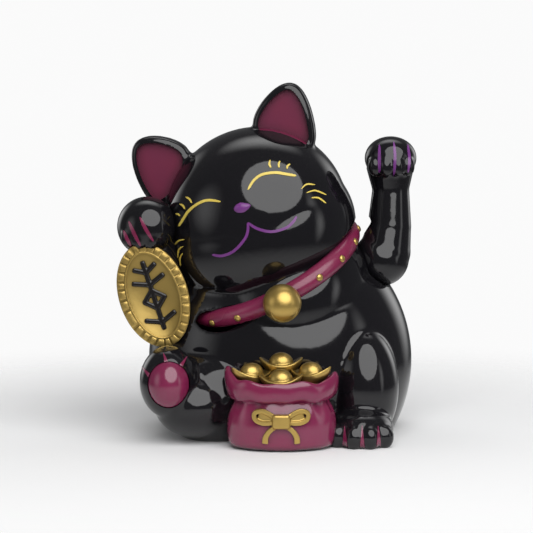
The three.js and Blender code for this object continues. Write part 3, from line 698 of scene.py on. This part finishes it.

# ---------------------------------------------------------------------------
# Feet: a raised plum sole pad in its own shallow seat, with three toe spikes,
# and three plum claws painted down the toes of the standing foot.
# ---------------------------------------------------------------------------
# The gloss plum paint gets painted shade that darkens its recesses and creases.
PLUM = make_finish(
    "gloss plum paint", (0.215, 0.018, 0.062), (0.15, 0.013, 0.055), (0.14, 0.22), coat=0.4, grain=5, painted_shade_mm=3
)
PAD_AT = Vector((-43.2, -42, 26.6)) * MM
PAD_RADII = Vector((9.7, 11.6, 11.6)) * MM
pad_seat = add_ball("pad_seat", PAD_AT, PAD_RADII + Vector((0.5, 0.1, 0.5)) * MM, UPRIGHT, 72, 48)
carve(front, pad_seat)
pad = add_ball("sole_pad", PAD_AT, PAD_RADII, UPRIGHT, 72, 48)
clear_selection()
bpy.ops.mesh.primitive_cube_add(size=0.1, location=PAD_AT + Vector((0, -55.2, 0)) * MM)
pad_face = settle(bpy.context.object)
carve(pad, pad_face, "INTERSECT")
hand_over(paint_all(pad, PLUM), "figurine", "gloss_plum")
SPIKES = [[(-45.2, 39.4), (-44.3, 37.4), (-43.6, 34.9)], [(-35.6, 37.6), (-37, 35.8), (-38.6, 33.4)],
          [(-54.2, 33.2), (-52.3, 31.8), (-50.2, 30)]]
CLAWS = [[(30.1, 9.2), (30.1, 4.5), (30.2, 0.6)], [(37.2, 9.8), (37.2, 5), (37.3, 0.6)],
         [(43.8, 9.4), (43.9, 4.8), (44, 0.6)]]
for name, lines, width in (("toe_spikes", SPIKES, 2.0), ("standing_claws", CLAWS, 2.3)):
    marks = [paint_line("mark", points, width, front, claw_width) for points in lines]
    hand_over(paint_all(join_pieces(name, *marks), PLUM), "figurine", "gloss_plum")

# ---------------------------------------------------------------------------
# Raised forearm and paw: a separate gloss black moulding glued between the
# shoulder and the head, with its paw folded over the top of the coin.
# ---------------------------------------------------------------------------
PAW_AT = Vector((-53.3, -17, 90)) * MM
PAW_RADIUS = 12.8 * MM
COIN_AT = Vector((-50.3, -24, 61.4)) * MM
COIN_HALF = Vector((14.6, 22.6)) * MM
COIN_THICK = 4.6 * MM
COIN_TURN = Matrix.Rotation(math.radians(-18), 4, "Y")
FACE_FRONT = Matrix.Rotation(math.radians(90), 4, "X")


def coin_disc(name, grow, vertices):
    """The coin's plain oval, upright and tilted in its place."""
    clear_selection()
    bpy.ops.mesh.primitive_cylinder_add(vertices=vertices, radius=1, depth=1)
    disc = bpy.context.object
    disc.name = name
    disc.scale = (COIN_HALF.x + grow, COIN_HALF.y + grow, COIN_THICK + 2 * grow)
    return settle(disc)


forearm = join_pieces(
    "holding_arm_moulding",
    *add_limb("forearm", Vector((-40, -8, 62)) * MM, 9.5 * MM, PAW_AT, 9 * MM),
    add_ball("paw", PAW_AT, Vector((PAW_RADIUS, PAW_RADIUS, PAW_RADIUS)), UPRIGHT, 96, 64),
    *[
        add_ball("toe", PAW_AT + Vector(spot) * MM, Vector((3.4, 2.6, 4.8)) * MM)
        for spot in ((-7.2, -7.6, -3.6), (-2.6, -9.4, -4.2), (2.4, -9.4, -4.2))
    ],
)
blend_skin(forearm, 0.6 * MM, 8)
carve(forearm, figure_room, keep_tool=True)
carve(forearm, settle(coin_disc("coin_room", FIT, 96), COIN_AT, COIN_TURN @ FACE_FRONT))
clear_selection()
bpy.ops.mesh.primitive_torus_add(
    major_radius=COLLAR_RING, minor_radius=COLLAR_TUBE + FIT, major_segments=96, minor_segments=24
)
collar_room = settle(bpy.context.object, COLLAR_AT, COLLAR_TURN)
carve(forearm, collar_room, keep_tool=True)
paint_all(forearm, BLACK_GLOSS)
PAW_CLAWS = [[(-62.6, 89), (-61.2, 85.6), (-59.6, 82.4)], [(-60.3, 93), (-58.1, 88), (-55.4, 82.6)],
             [(-55.6, 94.8), (-53.2, 90), (-50, 84.6)]]
marks = [paint_line("mark", points, 1.5, forearm, brush_width) for points in PAW_CLAWS]
hand_over(forearm, "figurine", "gloss_black", "holding_arm")
hand_over(paint_all(join_pieces("paw_claws", *marks), PLUM), "figurine", "gloss_plum")

# ---------------------------------------------------------------------------
# Coin: a cast oval with a ring of raised blocks, a raised lip and a sunk field,
# painted satin gold; its plain leaf emblem is a separate black moulding.
# ---------------------------------------------------------------------------
# The satin gold paint gets painted shade that turns it darker and browner in its recesses.
GOLD = make_finish(
    "satin gold paint", (0.62, 0.44, 0.14), (0.44, 0.29, 0.075), (0.27, 0.38),
    metallic=0.85, grain=2.5, relief=0.03, painted_shade_mm=3.5, dust=0.05,
)
BLOCKS = 29
STEPS_PER_BLOCK = 4
BLOCK_HIGH = 0.7 * MM
LIP_HIGH = 0.5 * MM
FIELD_DEEP = 0.9 * MM


def inset_faces(thickness):
    bpy.ops.mesh.inset(thickness=thickness, use_even_offset=True)


def extrude_faces(rise):
    bpy.ops.mesh.extrude_region_move(TRANSFORM_OT_translate={"value": (0, 0, rise)})


def select_faces(piece, chosen):
    """Selects the faces that `chosen` says yes to, and goes back to edit mode."""
    bpy.ops.object.mode_set(mode="OBJECT")
    for part in (piece.data.vertices, piece.data.edges, piece.data.polygons):
        part.foreach_set("select", [False] * len(part))
    for face in piece.data.polygons:
        face.select = bool(chosen(face))
    bpy.ops.object.mode_set(mode="EDIT")


def oval_share(point):
    return math.hypot(point.x / COIN_HALF.x, point.y / COIN_HALF.y)


def block_step(point):
    turn = math.atan2(point.y / COIN_HALF.y, point.x / COIN_HALF.x) % (2 * math.pi)
    return int(turn / (2 * math.pi) * BLOCKS * STEPS_PER_BLOCK) % STEPS_PER_BLOCK


coin = coin_disc("gold_coin", 0, BLOCKS * STEPS_PER_BLOCK)
take(coin)
bpy.ops.object.mode_set(mode="EDIT")
bpy.ops.mesh.select_mode(type="FACE")
select_faces(coin, lambda face: face.normal.z > 0.9)
inset_faces(0.35 * MM)
inset_faces(2.9 * MM)
inset_faces(0.9 * MM)
extrude_faces(-FIELD_DEEP)
select_faces(
    coin,
    lambda face: face.normal.z > 0.9 and 0.84 < oval_share(face.center) < 0.975 and block_step(face.center),
)
extrude_faces(BLOCK_HIGH)
select_faces(coin, lambda face: face.normal.z > 0.9 and 0.74 < oval_share(face.center) < 0.84)
extrude_faces(LIP_HIGH)
bpy.ops.object.mode_set(mode="OBJECT")
settle(coin, COIN_AT, COIN_TURN @ FACE_FRONT)
finish_with(coin, "BEVEL", width=0.22 * MM, segments=2, limit_method="ANGLE", angle_limit=math.radians(40))
for room in (figure_room, collar_room):
    carve(coin, room, keep_tool=True)
paint_all(coin, GOLD)
hand_over(coin, "figurine", "gold_paint", "coin")

STROKE = 2.3
STROKE_HIGH = 1.7 * MM


def emblem_bar(start, end, width=STROKE):
    """A straight rounded bar lying in the coin's face, from start to end in millimetres."""
    start, end = Vector(start), Vector(end)
    clear_selection()
    bpy.ops.mesh.primitive_cube_add(size=1)
    bar = bpy.context.object
    run = end - start
    bar.scale = (run.length * MM + width * MM * 0.8, width * MM, STROKE_HIGH)
    settle(bar)
    finish_with(bar, "BEVEL", width=0.8 * MM, segments=3)
    middle = (start + end) / 2
    turn = Matrix.Rotation(math.atan2(run.y, run.x), 4, "Z")
    return settle(bar, Vector((middle.x * MM, middle.y * MM, COIN_THICK / 2 - FIELD_DEEP)), turn)


emblem_bars = [emblem_bar((0, -14.5), (0, 14.5))]
for height, reach in ((11.6, 4.4), (6.2, 6.4), (-10.4, 6.2)):
    for side in (-1, 1):
        emblem_bars.append(emblem_bar((0, height - 1.6), (side * reach, height + 0.9)))
DIAMOND = [(0, 2.2), (4.4, -1.8), (0, -5.8), (-4.4, -1.8)]
for corner, following in zip(DIAMOND, DIAMOND[1:] + DIAMOND[:1]):
    emblem_bars.append(emblem_bar(corner, following))
emblem = join_pieces("leaf_emblem", *emblem_bars)
blend_skin(emblem, 0.22 * MM, 3)
settle(emblem, COIN_AT, COIN_TURN @ FACE_FRONT)
EMBLEM_BLACK = make_finish("black enamel", (0.006, 0.005, 0.005), (0.012, 0.01, 0.01), (0.12, 0.22), grain=2)
hand_over(paint_all(emblem, EMBLEM_BLACK), "figurine", "gloss_black", "coin_emblem")

# ---------------------------------------------------------------------------
# Collar: a plum ring seated in the groove of the neck, with gold dot studs
# evenly round it, leaving room at the front for the bell.
# ---------------------------------------------------------------------------
STUD_STEP = 20
STUD_FIRST = 27.5
STUD_MIDDLE = -2.5
STUD_RADII = Vector((1.55, 0.9, 1.55)) * MM
clear_selection()
bpy.ops.mesh.primitive_torus_add(
    major_radius=COLLAR_RING, minor_radius=COLLAR_TUBE, major_segments=192, minor_segments=48
)
collar = settle(bpy.context.object, COLLAR_AT, COLLAR_TURN)
collar.name = "collar_band"
# The collar plum gets painted shade that darkens it in its recesses and where it meets the shell.
COLLAR_PLUM = make_finish(
    "collar plum paint", (0.25, 0.018, 0.06), (0.14, 0.012, 0.055), (0.22, 0.32), coat=0.2, grain=4, painted_shade_mm=3
)
hand_over(paint_all(collar, COLLAR_PLUM), "figurine", "gloss_plum", "collar")
stud_angles = [
    STUD_MIDDLE + side * (STUD_FIRST + STUD_STEP * step) for side in (-1, 1) for step in range(8)
]
for index, angle in enumerate(stud_angles):
    way = Matrix.Rotation(math.radians(angle), 4, "Z")
    stud_at = COLLAR_AT + COLLAR_TURN @ way @ Vector((0, -(COLLAR_RING + COLLAR_TUBE - 0.1 * MM), 0))
    stud = add_ball(f"collar_stud_{index + 1}", stud_at, STUD_RADII, COLLAR_TURN @ way, 32, 20)
    finish_with(stud, "SMOOTH", factor=0.5, iterations=2)
    hand_over(paint_all(stud, GOLD), "figurine", "gold_paint")

# ---------------------------------------------------------------------------
# Bell: a gold ball hung at the front of the collar, with a shallow crescent
# groove for its mouth.
# ---------------------------------------------------------------------------
BELL_RADIUS = 8 * MM
BELL_FORWARD = 6.5 * MM
BELL_DROP = 2 * MM
SLOT_AXIS = Vector((0.158, -0.89, -0.428))
SLOT_HEIGHT = 0.74 * BELL_RADIUS
SLOT_RADIUS = 0.675 * BELL_RADIUS
SLOT_TUBE = 0.62 * MM
SLOT_DOWN = Vector((0.05, 0.42, -0.9)).normalized()
bell_at = COLLAR_AT + COLLAR_TURN @ Vector((0, -COLLAR_RING, 0)) + Vector((0, -BELL_FORWARD, -BELL_DROP))
bell = add_ball("bell_ball", bell_at, Vector((BELL_RADIUS, BELL_RADIUS, BELL_RADIUS)), UPRIGHT, 128, 96)
clear_selection()
bpy.ops.mesh.primitive_torus_add(
    major_radius=SLOT_RADIUS, minor_radius=SLOT_TUBE, major_segments=96, minor_segments=16
)
slot_ring = settle(bpy.context.object, Vector(), SLOT_AXIS.to_track_quat("Z", "Y").to_matrix().to_4x4())
clear_selection()
bpy.ops.mesh.primitive_cube_add(size=0.04)
slot_turn = SLOT_DOWN.to_track_quat("Z", "Y").to_matrix().to_4x4()
lower_half = settle(bpy.context.object, SLOT_DOWN * 0.02, slot_turn)
carve(slot_ring, lower_half, "INTERSECT")
settle(slot_ring, bell_at + SLOT_AXIS.normalized() * SLOT_HEIGHT)
carve(bell, slot_ring)
for room in (collar_room, figure_room):
    carve(bell, room, keep_tool=True)
hand_over(paint_all(bell, GOLD), "figurine", "gold_paint", "bell")

# ---------------------------------------------------------------------------
# Money bag: a plum casting, filled to its mouth, set in front of the body. Its neck is
# drawn in under a rolled, wavy cuff whose two ends stand up as horns.
# ---------------------------------------------------------------------------
BAG_AT = Vector((3.9, -46, 0)) * MM
BAG_HALF = 22.8
BAG_DEPTH_SHARE = 0.62
BAG_SIDES = 144
BAG_RINGS = [
    (19.8, 0.0), (21.6, 1.6), (22.5, 4.5), (22.8, 8.5), (22.6, 12.5), (21.7, 16), (20.2, 18.6), (19.3, 20.2),
    (20.4, 20.3), (22, 21), (22.9, 22.6), (23.2, 25), (22.9, 27.4), (22, 28.8), (20.7, 28.9), (19.6, 27.8),
    (19, 25.2), (10, 25),
]
NECK_RING = 7
LEFT_HORN = 5.2
RIGHT_HORN = 2.6


def bag_point(angle, radius, height, ring):
    """Folds gather at the neck, and the cuff waves and rises into a horn at each side."""
    cuff = max(0, min(1, (ring - NECK_RING) / 2))
    gather = math.exp(-(((ring - NECK_RING) / 2.2) ** 2))
    radius *= 1 + 0.018 * gather * math.cos(13 * angle) + 0.014 * cuff * math.sin(5 * angle + 0.6)
    horn = LEFT_HORN * max(-math.cos(angle), 0) ** 9 + RIGHT_HORN * max(math.cos(angle), 0) ** 9
    upper = max(0, min(1, (height - 20) / 8))
    height += cuff * (0.55 * math.cos(6 * angle + 1.1) + 0.3 * math.cos(11 * angle)) + horn * upper
    lean = 1.3 * horn * upper / LEFT_HORN * math.copysign(1, math.cos(angle))
    return Vector((radius * math.cos(angle) + lean, radius * math.sin(angle) * BAG_DEPTH_SHARE, height)) * MM


clear_selection()
bpy.ops.mesh.primitive_circle_add(vertices=BAG_SIDES, radius=BAG_HALF * MM, fill_type="NOTHING")
bag = bpy.context.object
bag.name = "money_pouch"
take(bag)
bpy.ops.object.mode_set(mode="EDIT")
bpy.ops.mesh.select_mode(type="VERT")
bpy.ops.mesh.select_all(action="SELECT")
for _ in BAG_RINGS[1:]:
    bpy.ops.mesh.extrude_region_move(TRANSFORM_OT_translate={"value": (0, 0, MM)})
bpy.ops.object.mode_set(mode="OBJECT")
for vertex in bag.data.vertices:
    ring = round(vertex.co.z / MM)
    radius, height = BAG_RINGS[ring]
    vertex.co = bag_point(math.atan2(vertex.co.y, vertex.co.x), radius, height, ring)
bpy.ops.object.mode_set(mode="EDIT")
bpy.ops.mesh.select_all(action="SELECT")
bpy.ops.mesh.fill_holes(sides=0)
bpy.ops.object.mode_set(mode="OBJECT")
settle(bag, BAG_AT)
point_outwards(bag)
finish_with(bag, "SUBSURF", levels=1, render_levels=1)


# ---------------------------------------------------------------------------
# Ingots: four boat-shaped gold castings heaped in the bag's mouth, each with
# raised ends, a doubled rim and a round dome amidships.
# ---------------------------------------------------------------------------
INGOT_HALF = Vector((9, 6, 4.4))
INGOT_SHEER = 3.1
DOME_RADII = Vector((5.2, 4.4, 4.6)) * MM
INGOTS = {
    "ingot_back": (Vector((3.7, -41, 34)), 0, 0),
    "ingot_left": (Vector((-8.6, -46.5, 30.4)), -24, 4),
    "ingot_right": (Vector((16, -46.5, 30.8)), 22, -4),
    "ingot_front": (Vector((3.4, -52.5, 28.6)), 4, 0),
}


def boat_sheer(x):
    return INGOT_SHEER * (abs(x) / INGOT_HALF.x) ** 2.2 - 0.4


def make_ingot(name):
    hull = add_ball(name, Vector(), Vector((1, 1, 1)), UPRIGHT, 72, 48)
    for vertex in hull.data.vertices:
        x, y, z = vertex.co
        x, y = x * INGOT_HALF.x, y * INGOT_HALF.y * (1 - 0.25 * abs(x) ** 3)
        z = z * INGOT_HALF.z if z < 0 else z * 0.3
        vertex.co = Vector((x, y, z + boat_sheer(x))) * MM
    rims = []
    for share, thick in ((0.93, 0.62), (0.76, 0.5)):
        clear_selection()
        bpy.ops.mesh.primitive_torus_add(
            major_radius=1, minor_radius=0.1, major_segments=72, minor_segments=12
        )
        rim = settle(bpy.context.object)
        for vertex in rim.data.vertices:
            x, y, z = vertex.co
            ring_x, ring_y = x * INGOT_HALF.x * share, y * INGOT_HALF.y * share * (1 - 0.25 * abs(x) ** 3)
            vertex.co = Vector((ring_x, ring_y, z * 10 * thick + 0.15 + boat_sheer(ring_x))) * MM
        rims.append(rim)
    dome = add_ball("dome", Vector((0, 0, 0.6)) * MM, DOME_RADII, UPRIGHT, 48, 32)
    ingot = join_pieces(name, hull, dome, *rims)
    return blend_skin(ingot, 0.3 * MM, 3)


first_ingot = make_ingot("first_ingot")
ingots = []
for name, (spot, yaw, lean) in INGOTS.items():
    turn = Matrix.Rotation(math.radians(-yaw), 4, "Z") @ Matrix.Rotation(math.radians(lean), 4, "Y")
    casting = settle(copy_piece(first_ingot, f"{name}_casting"), spot * MM, turn)
    carve(casting, figure_room, keep_tool=True)
    for earlier in ingots:
        carve(casting, earlier, keep_tool=True)
    ingots.append(casting)
    carve(bag, casting, keep_tool=True)
    hand_over(paint_all(casting, GOLD), "figurine", "gold_paint", name)
drop(first_ingot)
carve(bag, figure_room, keep_tool=True)
hand_over(paint_all(bag, PLUM), "figurine", "gloss_plum", "money_bag")

# ---------------------------------------------------------------------------
# Bow: a cast gold ribbon on the bag's front, two open loops, a square knot and
# two tails that fall outwards.
# ---------------------------------------------------------------------------
BOW_AT = Vector((3.6, 0, 13.2)) * MM
BOW_THICK = 2.2
BAG_FRONT = BAG_AT.y - BAG_HALF * BAG_DEPTH_SHARE * MM


def ribbon(name, points, width, profile, thick):
    """A flat ribbon of the bow along its points, as a closed strip of even thickness."""
    points = [Vector(point) for point in points]
    clear_selection()
    bpy.ops.mesh.primitive_grid_add(x_subdivisions=30, y_subdivisions=6, size=1)
    strip = bpy.context.object
    strip.name = name
    for vertex in strip.data.vertices:
        share, across = vertex.co.x + 0.5, vertex.co.y
        point, run = course(points, share)
        point += Vector((-run.y, run.x)) * across * width * profile(share)
        vertex.co = Vector((point.x, 0, point.y)) * MM
    finish_with(strip, "SOLIDIFY", thickness=thick * MM, offset=0)
    return point_outwards(strip)


def tail_width(share):
    return 0.7 + 0.3 * share


LOOP = ((1.5, 0.6), (4, 2.6), (7.6, 4.3), (10.8, 3.4), (10.6, 0.6), (7, -0.8), (1.5, -0.2))
bow_parts = []
for side in (-1, 1):
    loop = [(side * x, z) for x, z in LOOP]
    bow_parts.append(ribbon("loop", loop, 1.9, even_width, BOW_THICK))
    lining = [(side * x, z) for x, z in ((2.5, 0.3), (6, 1.2), (9.5, 1.9))]
    bow_parts.append(ribbon("loop_lining", lining, 3.4, even_width, BOW_THICK * 0.4))
    tail = [(side * x, z) for x, z in ((1.2, -1.6), (4.4, -3.6), (6.3, -6.4), (6.6, -9.2))]
    bow_parts.append(ribbon("tail", tail, 2.5, tail_width, BOW_THICK * 0.8))
clear_selection()
bpy.ops.mesh.primitive_cube_add(size=1, location=(0, -0.3 * MM, 0))
knot = bpy.context.object
knot.scale = (7.4 * MM, (BOW_THICK + 1.6) * MM, 6 * MM)
settle(knot)
finish_with(knot, "BEVEL", width=1.1 * MM, segments=4)
bow = join_pieces("ribbon_bow", knot, *bow_parts)
blend_skin(bow, 0.26 * MM, 4)
for vertex in bow.data.vertices:
    reach = min(abs(vertex.co.x) / (BAG_HALF * MM), 1)
    vertex.co.y += BAG_HALF * BAG_DEPTH_SHARE * MM * (1 - math.sqrt(1 - reach**2))
settle(bow, BOW_AT + Vector((0, BAG_FRONT - 0.1 * MM, 0)))
hand_over(paint_all(bow, GOLD), "figurine", "gold_paint", "bow")

# ---------------------------------------------------------------------------
# Waving arm: two hollow gloss black halves on the steel axle, with the paw's
# four toes curled forward over the wrist and three violet claw marks.
# ---------------------------------------------------------------------------
ARM_WALL = 1.8 * MM
ARM_PAW = Vector((51.1, -4, 118.6)) * MM
ARM_PAW_RADII = Vector((11.2, 10.4, 9.4)) * MM
AXLE_TIP = PIVOT.x + 4.5 * MM
HUB_RADIUS = 3.2 * MM
AXLE_BORE = 1.55 * MM
ARM_MIDDLE = Vector((50.9, -2, 89)) * MM
TOES = ((-7.1, -6.6, 3), (-2.5, -8.6, 3), (2.5, -8.6, 3), (7.1, -6.6, 3))

arm = join_pieces(
    "waving_arm",
    add_ball("elbow", PIVOT, Vector((BALL_RADIUS, BALL_RADIUS, BALL_RADIUS)), UPRIGHT, 96, 64),
    *add_limb("arm", PIVOT + Vector((1.5, 0, 3)) * MM, 11.2 * MM, ARM_MIDDLE, 9.5 * MM),
    *add_limb("arm", ARM_MIDDLE, 9.5 * MM, WRIST, WRIST_RADIUS),
    add_bar("cuff", WRIST, ARM_PAW + Vector((0, 2, -4)) * MM, WRIST_RADIUS, 10.4 * MM),
    add_ball("paw", ARM_PAW, ARM_PAW_RADII, UPRIGHT, 96, 64),
    *[
        add_ball("toe", ARM_PAW + Vector((x, y, -3.2)) * MM, Vector((half, 2.8, 4.4)) * MM)
        for x, y, half in TOES
    ],
)
blend_skin(arm, 0.6 * MM, 8)
paint_all(arm, BLACK_GLOSS)


def axle_rod(name, radius, start, end):
    return add_bar(name, Vector((start, SEAM_Y, PIVOT.z)), Vector((end, SEAM_Y, PIVOT.z)), radius, radius)


hub = axle_rod("hub", HUB_RADIUS, PIVOT.x - BALL_RADIUS, AXLE_TIP + ARM_WALL)
arm_hollow = join_pieces(
    "arm_hollow",
    *add_limb("hollow", PIVOT, BALL_RADIUS - ARM_WALL, WRIST, WRIST_RADIUS - ARM_WALL),
    add_ball("hollow", ARM_PAW, shorter(ARM_PAW_RADII, ARM_WALL)),
)
blend_skin(arm_hollow, 0.8 * MM, 2)
carve(arm_hollow, hub)
carve(arm, arm_hollow)
carve(arm, axle_rod("bore", AXLE_BORE, -0.02, AXLE_TIP + FIT))
arm_rear = copy_piece(arm, "waving_arm_rear_moulding")
arm_front = carve(arm, half_space("front_half", True), "INTERSECT")
arm_rear = carve(arm_rear, half_space("rear_half", False), "INTERSECT")
arm_front.name = "waving_arm_front_moulding"
WAVING_CLAWS = [[(46, 124.6), (45.8, 118.5), (45.9, 112.6)], [(52, 125.8), (52.4, 118.5), (52, 111.4)],
                [(58, 124.6), (58.6, 118.5), (58.1, 112.8)]]
claws = [paint_line("mark", points, 1.2, arm_front, brush_width) for points in WAVING_CLAWS]
hand_over(arm_front, "waving_arm", "gloss_black", "waving_arm_front")
hand_over(arm_rear, "waving_arm", "gloss_black", "waving_arm_rear")
hand_over(paint_all(join_pieces("waving_claws", *claws), VIOLET), "waving_arm", "violet_paint")
drop(figure_room, collar_room)

# ---------------------------------------------------------------------------
# Works: base plate with battery box, door, cell, contacts, frame, board, coil,
# pendulum, axle, wires and screws, each in the finish of its own stock.
# ---------------------------------------------------------------------------
WHITE = make_finish(
    "white moulding", (0.78, 0.77, 0.72), (0.70, 0.68, 0.62), (0.45, 0.6), grain=1.2, relief=0.04
)
STEEL = make_finish("plated steel", (0.62, 0.62, 0.64), (0.48, 0.48, 0.5), (0.22, 0.36), metallic=1, grain=1)
CELL_SLEEVE = make_finish(
    "cell sleeve", (0.06, 0.12, 0.30), (0.04, 0.09, 0.22), (0.2, 0.3), metallic=0.3, grain=2
)
BLACK_STOCK = make_finish("black moulding", (0.02, 0.02, 0.022), (0.03, 0.03, 0.03), (0.4, 0.55), grain=0.8)
RED_SLEEVE = make_finish("red insulation", (0.5, 0.02, 0.02), (0.4, 0.015, 0.015), (0.35, 0.5), grain=1)
MAGNET_BODY = make_finish(
    "sintered magnet", (0.35, 0.35, 0.37), (0.24, 0.24, 0.25), (0.3, 0.5), metallic=1, grain=0.6
)
BOARD_MASK = make_finish("board", (0.04, 0.22, 0.07), (0.02, 0.15, 0.05), (0.3, 0.4), grain=1.5)
COPPER = make_finish("copper wire", (0.62, 0.27, 0.12), (0.5, 0.19, 0.08), (0.25, 0.4), metallic=1, grain=0.5)


def add_turns(finish, pitch):
    """Ridges round the upright axis, one for each turn of wire."""
    tree = finish.node_tree
    place = tree.nodes.new("ShaderNodeTexCoord")
    turns = tree.nodes.new("ShaderNodeTexWave")
    turns.bands_direction = "Z"
    turns.inputs["Scale"].default_value = 1 / (pitch * MM * 20) * 2 * math.pi
    tree.links.new(place.outputs["Object"], turns.inputs["Vector"])
    bump = tree.nodes["Bump"]
    bump.inputs["Distance"].default_value = 0.15 * MM
    tree.links.new(turns.outputs["Fac"], bump.inputs["Height"])


def add_tracks(finish):
    """Paler copper tracks under the board's green mask."""
    tree = finish.node_tree
    place = tree.nodes.new("ShaderNodeTexCoord")
    tracks = tree.nodes.new("ShaderNodeTexBrick")
    tracks.inputs["Scale"].default_value = 160
    tracks.inputs["Mortar Size"].default_value = 0.06
    tracks.inputs["Color1"].default_value = (0.03, 0.18, 0.06, 1)
    tracks.inputs["Color2"].default_value = (0.035, 0.2, 0.065, 1)
    tracks.inputs["Mortar"].default_value = (0.10, 0.34, 0.12, 1)
    tree.links.new(place.outputs["Object"], tracks.inputs["Vector"])
    tree.links.new(tracks.outputs["Color"], tree.nodes["Principled BSDF"].inputs["Base Color"])


add_turns(COPPER, 0.4)
add_tracks(BOARD_MASK)
STOCK = {
    "base_plate": WHITE, "battery_door": WHITE, "mechanism_frame": WHITE, "coil_bobbin": WHITE,
    "pendulum_lever": WHITE, "battery_cell": CELL_SLEEVE, "circuit_board": BOARD_MASK, "drive_coil": COPPER,
    "driver_chip": BLACK_STOCK, "capacitor": BLACK_STOCK, "wire_negative": BLACK_STOCK,
    "wire_positive": RED_SLEEVE, "pendulum_magnet": MAGNET_BODY,
}
for name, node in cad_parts.items():
    if not node.hide_render:
        paint_all(node, STOCK.get(name, STEEL))
